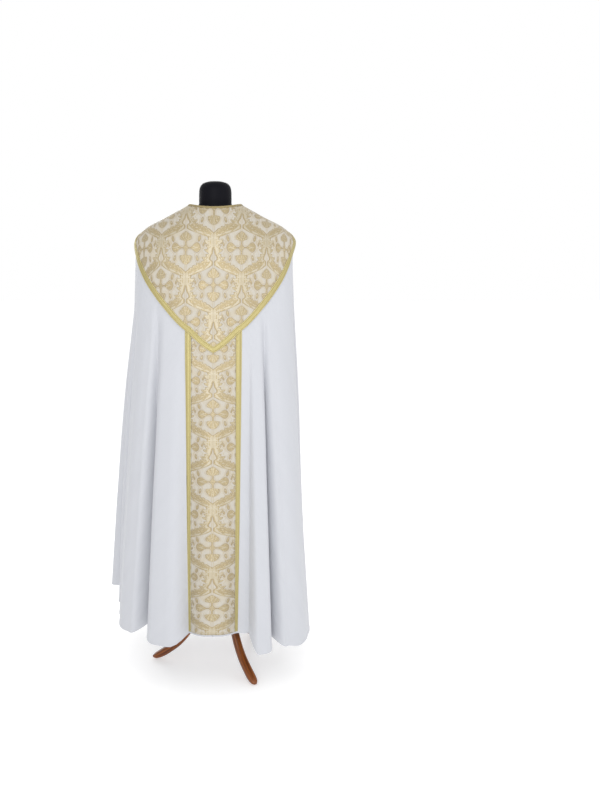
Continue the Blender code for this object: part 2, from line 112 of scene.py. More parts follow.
# crests and troughs: place c, how far out at the hem, where it begins, how much lower it hangs
FOLDS = {
    "left": np.array([
        (0.000, -0.026, 0.45, -0.012),
        (0.420, 0.006, 0.45, 0.000),
        (0.860, -0.012, 0.40, 0.004),
        (1.000, 0.028, 0.30, 0.024),
        (1.045, -0.030, 0.30, -0.004),
        (1.085, 0.016, 0.34, -0.026),
        (1.130, -0.045, 0.30, -0.040),
        (1.210, 0.030, 0.36, -0.054),
        (1.300, 0.034, 0.36, -0.040),
        (1.375, 0.036, 0.40, -0.006),
        (1.425, -0.030, 0.36, -0.012),
        (1.475, 0.010, 0.50, 0.030),
        (1.515, -0.030, 0.40, 0.010),
        (1.580, 0.024, 0.50, 0.040),
        (1.655, 0.044, 0.45, 0.052),
        (1.712, 0.038, 0.50, 0.048),
        (1.765, -0.055, 0.34, 0.004),
        (1.845, 0.036, 0.50, 0.044),
        (1.910, 0.034, 0.50, 0.040),
        (2.010, -0.015, 0.50, 0.002),
        (3.000, 0.036, 0.50, -0.010)]),
    "right": np.array([
        (0.000, -0.024, 0.45, -0.012),
        (0.420, 0.006, 0.45, 0.000),
        (0.860, -0.012, 0.40, 0.004),
        (1.000, 0.028, 0.30, 0.022),
        (1.055, -0.040, 0.28, -0.010),
        (1.120, 0.028, 0.34, -0.010),
        (1.185, 0.020, 0.34, -0.014),
        (1.235, -0.045, 0.28, -0.030),
        (1.300, 0.020, 0.36, -0.034),
        (1.380, 0.016, 0.36, -0.024),
        (1.430, -0.028, 0.36, -0.010),
        (1.500, 0.018, 0.50, 0.070),
        (1.590, 0.044, 0.45, 0.092),
        (1.690, 0.056, 0.45, 0.086),
        (1.765, 0.038, 0.50, 0.072),
        (1.812, -0.050, 0.34, 0.026),
        (1.868, 0.042, 0.45, 0.064),
        (1.910, 0.040, 0.45, 0.062),
        (1.940, -0.010, 0.46, 0.006),
        (2.010, -0.015, 0.50, 0.002),
        (3.000, 0.036, 0.50, -0.010)])}
BULGE = 0.17             # how much each fold swells sideways, per metre of its depth
SWELL = 0.20             # and at most this share of its width
TROUGH_GROWS, CREST_GROWS = 0.8, 1.1     # troughs deepen early, crests late
PILLAR_TUCK = 0.12       # how much of its width the pillar loses to its own bow at the hem

# the lower edge of the hood: degrees round from the front, distance down. Most of these pairs were
# solved for by a separate script, from heights and half widths of the edge, and not by hand
HOOD_EDGE = np.array([
    (0.0, 0.078), (21.5, 0.087), (33.8, 0.099), (48.5, 0.123), (62.2, 0.153), (76.5, 0.183),
    (88.0, 0.214), (96.0, 0.238), (105.8, 0.268), (113.0, 0.294), (124.8, 0.328),
    (137.0, 0.358), (147.5, 0.386), (161.0, 0.428), (166.5, 0.443), (180.0, 0.503)])

# the dress form: height, half width, depth to front, depth to back
FORM = np.array([
    (1.6560, 0.0240, 0.024, 0.024), (1.6500, 0.0420, 0.042, 0.042),
    (1.6380, 0.0520, 0.052, 0.052), (1.6210, 0.0555, 0.055, 0.055),
    (1.5980, 0.0560, 0.055, 0.055), (1.5720, 0.0600, 0.054, 0.052),
    (1.5470, 0.0960, 0.048, 0.054), (1.5240, 0.1420, 0.052, 0.064),
    (1.4980, 0.1820, 0.060, 0.075), (1.4740, 0.2050, 0.069, 0.084),
    (1.4400, 0.2150, 0.082, 0.092), (1.4050, 0.2120, 0.094, 0.100),
    (1.3400, 0.1920, 0.112, 0.106), (1.2500, 0.1680, 0.120, 0.107),
    (1.1500, 0.1500, 0.106, 0.102), (1.0500, 0.1380, 0.095, 0.094),
    (0.9600, 0.1500, 0.104, 0.102), (0.8700, 0.1660, 0.116, 0.112),
    (0.8200, 0.1680, 0.118, 0.112), (0.8000, 0.1600, 0.112, 0.106)])

# a leg: reach from the post, height of its middle, thickness, width
LEG = np.array([
    (0.0403, 0.262, 0.044, 0.026), (0.0640, 0.228, 0.033, 0.026),
    (0.0810, 0.176, 0.028, 0.026), (0.0970, 0.130, 0.026, 0.026),
    (0.1210, 0.090, 0.026, 0.027), (0.1500, 0.058, 0.026, 0.028),
    (0.1830, 0.034, 0.026, 0.029), (0.2080, 0.019, 0.024, 0.029),
    (0.2260, 0.011, 0.018, 0.024), (0.2350, 0.008, 0.010, 0.013)])
LEG_TURN = {"form_leg_1": -31.0, "form_leg_2": 89.0, "form_leg_3": 209.0}
print("front band", round(FRONT_ZONE, 3), "pillar", round(2 * BACK_ZONE, 3))

# %% [markdown]
# ## One surface for every piece of cloth
# The mantle, the bands, the braids and the hood all lie on one draped surface, each a hair
# above the one below. So we write that surface once, as a function of `c` and `d`, and give
# every piece its own share of it. A ring per distance down gives the plain body, and the fold
# table pushes it in and out. Hanging the whole thing by simulation is the other way, but then
# the folds would fall where they like and not where this cope has them.

# %% The draped surface
def smooth(x, xs, ys):
    """A smooth curve through a table's points."""
    h = np.diff(xs)
    k = np.diff(ys) / h
    m = np.empty(len(xs))
    m[0], m[-1] = k[0], k[-1]
    m[1:-1] = (k[:-1] * h[1:] + k[1:] * h[:-1]) / (h[:-1] + h[1:])
    i = np.clip(np.searchsorted(xs, x) - 1, 0, len(h) - 1)
    t = (x - xs[i]) / h[i]
    return ((2 * t**3 - 3 * t**2 + 1) * ys[i] + (t**3 - 2 * t**2 + t) * h[i] * m[i]
            + (3 * t**2 - 2 * t**3) * ys[i + 1] + (t**3 - t**2) * h[i] * m[i + 1])


def ease(x):
    """0 to 1 with a soft start and end."""
    x = np.clip(x, 0.0, 1.0)
    return x * x * (3 - 2 * x)


def fold_at(side, c, d, span):
    """How far the folds move cloth place (c, d): outward, round and down."""
    table = FOLDS[side]
    i = np.clip(np.searchsorted(table[:, 0], c, side="right") - 1, 0, len(table) - 2)
    width = table[i + 1, 0] - table[i, 0]
    t = (c - table[i, 0]) / width
    grown = []
    for k in (i, i + 1):
        power = np.where(table[k, 1] < 0, TROUGH_GROWS, CREST_GROWS)
        down = np.clip((d - table[k, 2]) / (LENGTH - table[k, 2]), 0, 1)
        grown.append(down ** power * ease((d - table[k, 2]) / 0.12))
    start, end = table[i, 1] * grown[0], table[i + 1, 1] * grown[1]
    falls = start >= end
    share = (0.5 - 0.5 * np.cos(math.pi * np.where(falls, t, 1 - t))) ** 1.25
    out = np.maximum(start, end) - np.abs(start - end) * share
    swell = np.minimum(BULGE * np.abs(start - end), SWELL * width * span)
    round_ = np.where(falls, 1, -1) * swell * np.sin(math.pi * t)
    soft = 0.5 - 0.5 * np.cos(math.pi * t)
    drop = (table[i, 3] + (table[i + 1, 3] - table[i, 3]) * soft) * (d / LENGTH) ** 4
    return out, round_, drop


def drape(side, c, d, folded=True):
    """Points of the draped surface for an array of c at one distance d; +X is the left half."""
    r = {name: float(smooth(np.array(d), RING[:, 0], RING[:, k]))
         for k, name in enumerate(RING_COLUMNS)}
    sign = 1 if side == "left" else -1
    turn = np.radians(np.linspace(0, 180, 361))
    s, k = np.sin(turn), np.cos(turn)
    e = 2 / np.where(k > 0, r["front_square"], r["back_square"])
    wide = r["side_x"] + sign * r["lean"] * ease(1 - np.abs(k))
    x = wide * np.abs(s) ** e
    y = np.where(k > 0, -r["front_y"], r["back_y"]) * np.abs(k) ** e - r["side_y"] * s * s
    z = r["side_z"] + (np.where(k > 0, r["front_z"], r["back_z"]) - r["side_z"]) * k * k
    along = np.concatenate([[0], np.cumsum(np.hypot(np.diff(x), np.diff(y)))])
    size = 0.55 + 0.45 * ease(d / 0.09)
    first = float(np.interp(d, OPENING[:, 0], OPENING[:, 1]))
    last = along[-1]
    a, b = first + FRONT_ZONE * size, last - BACK_ZONE * size * (1 - PILLAR_TUCK * (d / LENGTH) ** 2)
    place = np.interp(c, [0, 1, 2, 3], [first, a, b, last])
    out, drop = 0.0, 0.0
    if folded:
        out, round_, drop = fold_at(side, c, d, b - a)
        place = np.clip(place + round_, 0, last)
    nx, ny = np.gradient(y, along), -np.gradient(x, along)
    nx[0], ny[0], nx[-1], ny[-1] = 0, -1, 0, 1
    length = np.hypot(nx, ny)
    px = np.interp(place, along, x) + np.interp(place, along, nx / length) * out
    py = np.interp(place, along, y) + np.interp(place, along, ny / length) * out
    pz = np.interp(place, along, z) - drop
    return np.stack([px * sign, py, pz], -1)


STEP = 0.004          # rows of the surface are worked out this far apart
NEAR = 0.003          # a slope is measured this far to either side, in c and in d


def surface(side, columns, rows, folded=True):
    """Points and outward normals; rows is one list, or one per column."""
    columns = np.asarray(columns, float)
    rows = np.asarray(rows, float)
    if rows.ndim == 1:
        rows = np.repeat(rows[:, None], len(columns), 1)
    levels = np.arange(-1, int(rows.max() / STEP) + 3) * STEP
    points, normals = [], []
    for d in np.clip(levels, 0.0, LENGTH):
        here = drape(side, columns, d, folded)
        run = (drape(side, np.minimum(columns + NEAR, 3.0), d, folded)
               - drape(side, np.maximum(columns - NEAR, 0.0), d, folded))
        down = (drape(side, columns, min(d + NEAR, LENGTH), folded)
                - drape(side, columns, max(d - NEAR, 0.0), folded))
        n = np.cross(down, run) * (1 if side == "left" else -1)
        n[columns > 2.999, 0] = 0.0
        points.append(here)
        normals.append(n / np.linalg.norm(n, axis=1, keepdims=True))
    points, normals = np.array(points), np.array(normals)
    at = np.clip(rows / STEP + 1, 1, len(levels) - 2.001)
    i = at.astype(int)
    t = (at - i)[..., None]
    j = np.arange(len(columns))[None, :]
    found = []
    for grid in (points, normals):
        p0, p1, p2, p3 = grid[i - 1, j], grid[i, j], grid[i + 1, j], grid[i + 2, j]
        found.append(0.5 * (2 * p1 + (p2 - p0) * t + (2 * p0 - 5 * p1 + 4 * p2 - p3) * t**2
                            + (3 * p1 - p0 - 3 * p2 + p3) * t**3))
    found[1] /= np.linalg.norm(found[1], axis=-1, keepdims=True)
    found[0] += np.array(AXIS)
    return found


def both(left, right):
    """One grid from the two halves' grids, which meet at the middle of the back."""
    joined = [np.concatenate([a, b[:, -2::-1]], 1) for a, b in zip(left, right)]
    joined[1] /= np.linalg.norm(joined[1], axis=-1, keepdims=True)
    return joined


check = surface("left", [0, 1, 2, 3], [0.0, LENGTH])[0]
print("neck and hem, middle of the back", check[0, 3].round(3), check[1, 3].round(3))

# %% [markdown]
# ## From a grid to a piece of cloth
# A bmesh grid is moved onto the surface, pushed out to its own layer, given a UV map in metres
# of cloth, and made a wall with a Solidify modifier. The UV map matters because the weave and
# the brocade's design follow the cloth, not the room. A vertex group thins the wall everywhere
# but at its heavy places, such as the hem or the cord along a braid.

# %% Making a piece
def finished(bm, name, material, nodes=()):
    """A bmesh made an object that rides on the root body."""
    mesh = bpy.data.meshes.new(name)
    bm.to_mesh(mesh)
    bm.free()
    mesh.shade_smooth()
    mesh.materials.append(material)
    piece = bpy.data.objects.new(name, mesh)
    bpy.context.scene.collection.objects.link(piece)
    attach(piece, "root")
    if nodes:
        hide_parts(*nodes)
    return piece


def net(bm, points):
    """A bmesh grid moved onto rows and columns of points; gives each vertex its place."""
    n_rows, n_cols = points.shape[:2]
    made = bmesh.ops.create_grid(bm, x_segments=n_cols - 1, y_segments=n_rows - 1, size=1.0)
    where = {}
    for vert in made["verts"]:
        j = round((vert.co.x + 1) / 2 * (n_cols - 1))
        k = round((1 - vert.co.y) / 2 * (n_rows - 1))
        where[vert] = (k, j)
        vert.co = points[k, j]
    return where


def cloth(name, grid, lift, thick, uv, material, nodes, heavy=None):
    """A thin wall on a grid of surface points; heavy gives each point's share of thick."""
    points, normals = grid
    bm = bmesh.new()
    layer = bm.loops.layers.uv.new("cloth")
    weights = bm.verts.layers.deform.verify()
    where = net(bm, points + normals * lift)
    for face in bm.faces:
        for loop in face.loops:
            loop[layer].uv = uv[where[loop.vert]]
    middle = points.shape[0] // 2, points.shape[1] // 2
    bm.normal_update()
    test = next(v for v in bm.verts if where[v] == middle)
    if test.normal.dot(Vector(normals[middle])) < 0:
        bmesh.ops.reverse_faces(bm, faces=bm.faces)
    if heavy is not None:
        for vert in bm.verts:
            vert[weights][0] = float(heavy[where[vert]])
    area = sum(face.calc_area() for face in bm.faces)
    piece = finished(bm, name, material, nodes)
    wall = piece.modifiers.new("wall", "SOLIDIFY")
    wall.thickness = thick
    wall.offset = 0.0
    if heavy is not None:
        piece.vertex_groups.new(name="heavy")
        wall.vertex_group = "heavy"
        wall.thickness_vertex_group = 0.0
    print(name, points.shape[:2], "area", round(area, 3))
    return piece


def spread(points, count):
    """A table's points with count steps between each two."""
    points = np.asarray(points, float)
    steps = [np.linspace(a, b, count + 1)[:-1] for a, b in zip(points[:-1], points[1:])]
    return np.concatenate(steps + [points[-1:]])


def flat_map(across, down):
    """A UV for each row and column from the two distances in metres."""
    u, v = np.meshgrid(across, down)
    return np.stack([u, v], -1)


print("tools for cloth ready")

# %% [markdown]
# ## Materials
# All of them are worked out from maths nodes, with no pictures. `Sums` is a small calculator
# that adds one node for each sum, which keeps the long ones readable.

# %% Node helpers
class Sums:
    """Maths on a material's sockets."""

    def __init__(self, name):
        self.material = bpy.data.materials.new(name)
        self.material.use_nodes = True
        self.tree = self.material.node_tree
        self.shader = self.tree.nodes["Principled BSDF"]

    def put(self, socket, value):
        if isinstance(value, bpy.types.NodeSocket):
            self.tree.links.new(value, socket)
        else:
            socket.default_value = value

    def do(self, kind, *values):
        node = self.tree.nodes.new("ShaderNodeMath")
        node.operation = kind
        for socket, value in zip(node.inputs, values):
            self.put(socket, value)
        return node.outputs[0]

    def place(self):
        """The two distances of the cloth's own UV map."""
        uv = self.tree.nodes.new("ShaderNodeUVMap")
        uv.uv_map = "cloth"
        split = self.tree.nodes.new("ShaderNodeSeparateXYZ")
        self.tree.links.new(uv.outputs[0], split.inputs[0])
        return split.outputs[0], split.outputs[1]

    def step(self, value, low, high):
        """0 below low, 1 above high and soft between."""
        node = self.tree.nodes.new("ShaderNodeMapRange")
        node.interpolation_type = "SMOOTHSTEP"
        self.put(node.inputs["Value"], value)
        node.inputs["From Min"].default_value = low
        node.inputs["From Max"].default_value = high
        return node.outputs["Result"]

    def curve(self, value, points, tall):
        """A curve drawn through points of (where, height), none of them above tall."""
        low, high = points[0][0], points[-1][0]
        node = self.tree.nodes.new("ShaderNodeFloatCurve")
        self.put(node.inputs["Value"], self.do("DIVIDE", self.do("SUBTRACT", value, low), high - low))
        line = node.mapping.curves[0]
        for place in (0, 1):
            where, height = points[-place]
            line.points[place].location = ((where - low) / (high - low), height / tall)
        for where, height in points[1:-1]:
            line.points.new((where - low) / (high - low), height / tall)
        for point in line.points:
            point.handle_type = "AUTO_CLAMPED"
        node.mapping.update()
        return self.do("MULTIPLY", node.outputs[0], tall)

    @staticmethod
    def solid(colour):
        return (*colour, 1.0) if isinstance(colour, tuple) else colour

    def mix(self, share, first, second):
        """A colour between two colours."""
        node = self.tree.nodes.new("ShaderNodeMix")
        node.data_type = "RGBA"
        self.put(node.inputs["Factor"], share)
        for socket, colour in ((node.inputs[6], first), (node.inputs[7], second)):
            self.put(socket, self.solid(colour))
        return node.outputs[2]

    def noise(self, across, down, detail=2.0):
        """Soft noise, with its own number of waves per metre across and down the cloth."""
        u, v = self.place()
        join = self.tree.nodes.new("ShaderNodeCombineXYZ")
        self.put(join.inputs[0], self.do("MULTIPLY", u, across))
        self.put(join.inputs[1], self.do("MULTIPLY", v, down))
        node = self.tree.nodes.new("ShaderNodeTexNoise")
        node.inputs["Scale"].default_value = 1.0
        node.inputs["Detail"].default_value = detail
        self.put(node.inputs["Vector"], join.outputs[0])
        return node.outputs["Fac"]

    def wave(self, value, length):
        """A sine from -1 to 1 that repeats every length."""
        return self.do("SINE", self.do("MULTIPLY", value, math.tau / length))

    def bump(self, height, depth, strength):
        node = self.tree.nodes.new("ShaderNodeBump")
        node.inputs["Distance"].default_value = depth
        node.inputs["Strength"].default_value = strength
        self.put(node.inputs["Height"], height)
        self.tree.links.new(node.outputs[0], self.shader.inputs["Normal"])

    def finish(self, colour, rough, metal=0.0, sheen=0.0):
        self.put(self.shader.inputs["Base Color"], self.solid(colour))
        self.put(self.shader.inputs["Roughness"], rough)
        self.put(self.shader.inputs["Metallic"], metal)
        self.shader.inputs["Sheen Weight"].default_value = sheen
        return self.material


print("helpers ready")

# %% [markdown]
# ### White twill
# A smooth twill a little on the cold side. The slant of the weave repeats every 1.6 mm, so from
# here it only softens the light. Long faint streaks run down it, as in any cloth that hangs: they
# are bumps, and the same noise paints their low parts a little darker, which is painted shade.

# %% White cloth
twill = Sums("white_cloth")
u, v = twill.place()
slant = twill.wave(twill.do("ADD", u, twill.do("MULTIPLY", v, 0.6)), 0.0016)
streak = twill.noise(26.0, 1.6)
# painted shade: the cloth's cool white is made a little darker where the streak bump is low
shade = twill.mix(streak, (0.505, 0.517, 0.552), (0.535, 0.546, 0.580))
height = twill.do("ADD", streak, twill.do("MULTIPLY", slant, 0.02))
twill.bump(height, 0.0035, 0.5)
WHITE = twill.finish(shade, 0.62, sheen=0.12)
twill.shader.inputs["Sheen Roughness"].default_value = 0.5
print("twill nodes", len(WHITE.node_tree.nodes))

# %% [markdown]
# ### The brocade
# Cream medallions stand on a tan and gold ground in half-drop rows. Each medallion is a pointed,
# leafy frame with a four-lobed figure inside, and a bud stands on its point. The design is drawn
# here: one curve gives the half width of the cream shape at each height, another the
# half width of the figure in its heart, and a short wave gives its rim small leaves. The same
# drawing is used twice, the second time moved by half a repeat each way, which makes the
# half-drop. Where the two are equally near, a row of pearls marks the lattice between them.

# %% The design
REPEAT_WIDE, REPEAT_TALL = 0.185, 0.217
HALF = REPEAT_TALL / 2
OUTLINE = [
    (-HALF, 0.0), (-0.0720, 0.0), (-0.0660, 0.0060), (-0.0600, 0.0130), (-0.0540, 0.0240),
    (-0.0480, 0.0340), (-0.0430, 0.0460), (-0.0385, 0.0560), (-0.0340, 0.0520), (-0.0270, 0.0600),
    (-0.0180, 0.0690), (-0.0120, 0.0620), (-0.0040, 0.0660), (0.0050, 0.0690), (0.0110, 0.0590),
    (0.0160, 0.0600), (0.0210, 0.0690), (0.0255, 0.0740), (0.0310, 0.0640), (0.0380, 0.0480),
    (0.0430, 0.0340), (0.0480, 0.0215), (0.0540, 0.0100), (0.0610, 0.0035), (0.0670, 0.0040),
    (0.0760, 0.0122), (0.0820, 0.0100), (0.0900, 0.0055), (0.0980, 0.0030), (0.1050, 0.0018),
    (HALF, 0.0)]
HEART = [
    (-HALF, 0.0), (-0.0500, 0.0), (-0.0475, 0.0050), (-0.0430, 0.0125), (-0.0360, 0.0185),
    (-0.0280, 0.0215), (-0.0235, 0.0205), (-0.0212, 0.0100), (-0.0190, 0.0040), (-0.0100, 0.0042),
    (-0.0040, 0.0085), (0.0, 0.0100), (0.0040, 0.0085), (0.0100, 0.0042), (0.0180, 0.0040),
    (0.0210, 0.0100), (0.0240, 0.0190), (0.0300, 0.0210), (0.0370, 0.0170), (0.0430, 0.0105),
    (0.0480, 0.0040), (0.0505, 0.0), (HALF, 0.0)]
LOBE_OUT, LOBE_WIDE, LOBE_TALL = 0.0320, 0.0170, 0.0140
CURLS = ((0.0455, 0.0250, 0.0046, 0.2), (0.0385, -0.0310, 0.0040, -0.2),
         (0.0600, 0.0090, 0.0030, 0.3))      # small leaves: out, up, half width, slant
CURVE_TALL = 0.08       # both curves stay below this half width
FULLER = 1.055          # the cream shape is drawn this much wider than its outline
THREAD = 0.0007         # half the width of a woven contour line
LEAF = 0.0125           # one small leaf of the rim to the next


def motif(s, x, y):
    """Fields for one medallion at (x, y) from its middle: cream shape, heart, veins."""
    outline = s.do("MULTIPLY", s.curve(y, OUTLINE, CURVE_TALL), FULLER)
    heart = s.do("SUBTRACT", s.do("SUBTRACT", s.curve(y, HEART, CURVE_TALL), x), 0.0015)
    leafy = s.wave(s.do("ADD", y, s.do("MULTIPLY", x, 0.45)), LEAF)
    leafy = s.do("MULTIPLY", leafy, s.do("MULTIPLY", s.step(outline, 0.010, 0.030), 0.0042))
    shape = s.do("ADD", s.do("SUBTRACT", s.do("SUBTRACT", outline, x), 0.0010), leafy)
    over = s.do("DIVIDE", s.do("SUBTRACT", x, LOBE_OUT), LOBE_WIDE)
    swell = s.do("ADD", 0.35, s.do("MULTIPLY", s.step(x, 0.016, 0.040), 0.75))
    up = s.do("DIVIDE", y, s.do("MULTIPLY", swell, LOBE_TALL))
    round_ = s.do("SQRT", s.do("ADD", s.do("MULTIPLY", over, over), s.do("MULTIPLY", up, up)))
    lobe = s.do("MULTIPLY", s.do("SUBTRACT", 1.0, round_), LOBE_TALL)
    stalk = s.do("SUBTRACT", 0.0016, s.do("ABSOLUTE", y))
    stalk = s.do("MINIMUM", stalk, s.do("SUBTRACT", LOBE_OUT, x))
    heart = s.do("MAXIMUM", s.do("MAXIMUM", heart, lobe), stalk)
    for out, tall, size, slant in CURLS:
        rise = s.do("SUBTRACT", y, tall)
        lean = s.do("ADD", s.do("SUBTRACT", x, out), s.do("MULTIPLY", rise, -slant))
        rise = s.do("MULTIPLY", rise, 0.55)
        away = s.do("ADD", s.do("MULTIPLY", lean, lean), s.do("MULTIPLY", rise, rise))
        heart = s.do("MAXIMUM", heart, s.do("SUBTRACT", size, s.do("SQRT", away)))
    high = s.do("SUBTRACT", s.do("ABSOLUTE", y), 0.012)
    angle = s.do("ARCTAN2", x, high)
    ribs = s.wave(angle, 0.36)
    vein = s.do("ABSOLUTE", s.do("SUBTRACT", x, s.do("MULTIPLY", outline, 0.84)))
    flutes = s.do("MULTIPLY", s.step(s.wave(x, 0.0062), 0.1, 0.8), s.step(x, 0.024, 0.019))
    flutes = s.do("MULTIPLY", flutes, s.step(y, -0.070, -0.076))
    streak = s.step(s.do("ABSOLUTE", s.do("ADD", shape, 0.0095)), 0.0046, 0.0028)
    streak = s.do("MULTIPLY", streak, s.step(y, -0.004, 0.010))
    streak = s.do("MULTIPLY", streak, s.step(s.wave(s.do("ADD", y, x), 0.0210), -0.85, -0.45))
    return shape, heart, ribs, vein, s.do("MAXIMUM", flutes, streak)


brocade = Sums("brocade")
u, v = brocade.place()
x_here = brocade.do("PINGPONG", u, REPEAT_WIDE / 2)
y_here = brocade.do("WRAP", v, HALF, -HALF)
x_next = brocade.do("SUBTRACT", REPEAT_WIDE / 2, x_here)
y_next = brocade.do("WRAP", brocade.do("ADD", v, HALF), HALF, -HALF)
shape_a, heart_a, ribs_a, vein_a, flutes_a = motif(brocade, x_here, y_here)
shape_b, heart_b, ribs_b, vein_b, flutes_b = motif(brocade, x_next, y_next)
in_a = brocade.do("GREATER_THAN", shape_a, shape_b)
shape = brocade.do("MAXIMUM", shape_a, shape_b)
heart = brocade.do("MAXIMUM", heart_a, heart_b)
ribs = brocade.do("ADD", brocade.do("MULTIPLY", ribs_a, in_a),
                  brocade.do("MULTIPLY", ribs_b, brocade.do("SUBTRACT", 1.0, in_a)))
vein = brocade.do("MINIMUM", vein_a, vein_b)
cream = brocade.do("MINIMUM", shape, brocade.do("MULTIPLY", heart, -1.0))
pale = brocade.step(cream, -0.0006, 0.0006)
contour = brocade.do("SUBTRACT", 1.0, brocade.step(brocade.do("ABSOLUTE", cream), THREAD, 3 * THREAD))
in_heart = brocade.step(heart, -0.0004, 0.0004)
rib_lines = brocade.do("MULTIPLY", in_heart, brocade.step(ribs, 0.35, 0.9))
vein_lines = brocade.do("MULTIPLY", pale, brocade.step(vein, 0.0012, 0.0004))
dots = brocade.do("MULTIPLY", brocade.wave(u, 0.0066), brocade.wave(v, 0.0066))
dots = brocade.step(brocade.do("ABSOLUTE", dots), 0.35, 0.75)
echo = brocade.do("ABSOLUTE", brocade.do("ADD", shape, 0.0058))
echo = brocade.do("SUBTRACT", 1.0, brocade.step(echo, 0.0007, 0.0016))
middle = brocade.do("ABSOLUTE", brocade.do("SUBTRACT", shape_a, shape_b))
pearls = brocade.do("SUBTRACT", 1.0, brocade.step(middle, 0.0030, 0.0050))
pearls = brocade.do("MULTIPLY", pearls, brocade.step(brocade.wave(v, 0.0074), -0.1, 0.5))
flutes = brocade.do("MAXIMUM", flutes_a, flutes_b)
lace = brocade.do("MAXIMUM", brocade.do("MAXIMUM", echo, pearls), flutes)
rim = brocade.do("ABSOLUTE", brocade.do("ADD", heart, 0.0042))
rim = brocade.do("MULTIPLY", pale, brocade.do("SUBTRACT", 1.0, brocade.step(rim, 0.0005, 0.0013)))
fine = brocade.noise(270.0, 300.0, 1.0)
bright, deep = brocade.step(fine, 0.56, 0.70), brocade.step(fine, 0.44, 0.30)
outside = brocade.do("SUBTRACT", 1.0, brocade.do("MAXIMUM", pale, in_heart))
lace = brocade.do("MULTIPLY", lace, outside)
slub = brocade.noise(150.0, 520.0)
patches = brocade.noise(38.0, 38.0)

ground = brocade.mix(slub, (0.332, 0.265, 0.150), (0.432, 0.350, 0.205))
ground = brocade.mix(brocade.do("MULTIPLY", dots, 0.25), ground, (0.520, 0.450, 0.310))
ground = brocade.mix(brocade.do("MULTIPLY", rib_lines, 0.55), ground, (0.510, 0.465, 0.360))
ground = brocade.mix(brocade.do("MULTIPLY", bright, 0.50), ground, (0.680, 0.570, 0.340))
ground = brocade.mix(brocade.do("MULTIPLY", deep, 0.50), ground, (0.255, 0.190, 0.100))
ground = brocade.mix(brocade.do("MULTIPLY", lace, 0.80), ground, (0.515, 0.468, 0.365))
silk = brocade.mix(slub, (0.462, 0.431, 0.372), (0.540, 0.508, 0.443))
silk = brocade.mix(brocade.do("MULTIPLY", brocade.do("MAXIMUM", vein_lines, rim), 0.65), silk,
                   (0.410, 0.325, 0.190))
silk = brocade.mix(brocade.do("MULTIPLY", brocade.step(patches, 0.45, 0.65), 0.45), silk,
                   (0.500, 0.430, 0.300))
silk = brocade.mix(brocade.do("MULTIPLY", deep, 0.25), silk, (0.400, 0.330, 0.220))
colour = brocade.mix(pale, ground, silk)
colour = brocade.mix(brocade.do("MULTIPLY", contour, 0.50), colour, (0.290, 0.215, 0.115))
weave = brocade.do("MULTIPLY", brocade.wave(v, 0.0011), 0.10)
relief = brocade.do("ADD", pale, brocade.do("MULTIPLY", slub, 0.5))
relief = brocade.do("ADD", brocade.do("SUBTRACT", relief, brocade.do("MULTIPLY", contour, 0.5)), weave)
brocade.bump(relief, 0.0006, 0.6)
metal = brocade.do("ADD", 0.05, brocade.do("MULTIPLY", brocade.do("SUBTRACT", 1.0, pale), 0.35))
rough = brocade.do("ADD", 0.46, brocade.do("MULTIPLY", pale, 0.14))
BROCADE = brocade.finish(colour, rough, metal, sheen=0.1)
print("brocade nodes", len(BROCADE.node_tree.nodes))

# %% [markdown]
# ### Braid
# The gold braid is woven of flat metal thread: small ribs lie across it, a cord runs along each
# edge, and a thin brown line runs beside the cord. The neck's braid is narrower and darker.
# The ribs are painted dark in their troughs and light on their crests, which is painted shade,
# and the cords carry a painted shine that comes and goes along their twist.

# %% Braid
def braid(name, wide, light, dark, line, rib=0.0024):
    s = Sums(name)
    u, v = s.place()
    side = s.do("SUBTRACT", wide / 2, s.do("ABSOLUTE", s.do("SUBTRACT", u, wide / 2)))
    cord = s.do("SUBTRACT", 1.0, s.step(side, 0.10 * wide, 0.14 * wide))
    groove = s.do("ABSOLUTE", s.do("SUBTRACT", side, 0.18 * wide))
    groove = s.do("SUBTRACT", 1.0, s.step(groove, 0.02 * wide, 0.06 * wide))
    chevron = s.do("ADD", v, s.do("MULTIPLY", s.do("ABSOLUTE", s.do("SUBTRACT", u, wide / 2)), 0.7))
    ribs = s.do("MULTIPLY", s.do("ADD", s.wave(chevron, rib), 1.0), 0.5)
    twist = s.do("MULTIPLY", s.do("ADD", s.wave(s.do("ADD", v, u), rib * 0.7), 1.0), 0.5)
    slub = s.noise(60.0, 260.0)
    # painted shade: the gold is dark in the troughs of the ribs and light on their crests
    colour = s.mix(ribs, dark, light)
    colour = s.mix(s.do("MULTIPLY", slub, 0.35), colour, dark)
    # painted highlight: the raised cords are brightened along their twist
    painted_cord_shine = s.mix(twist, light, tuple(1.18 * c for c in light))
    colour = s.mix(s.do("MULTIPLY", cord, 0.8), colour, painted_cord_shine)
    colour = s.mix(s.do("MULTIPLY", groove, 0.6), colour, line)
    height = s.do("ADD", s.do("MULTIPLY", ribs, 0.5), s.do("MULTIPLY", cord, 0.8))
    s.bump(s.do("SUBTRACT", height, groove), 0.0006, 0.55)
    return s.finish(colour, 0.40, 0.45)


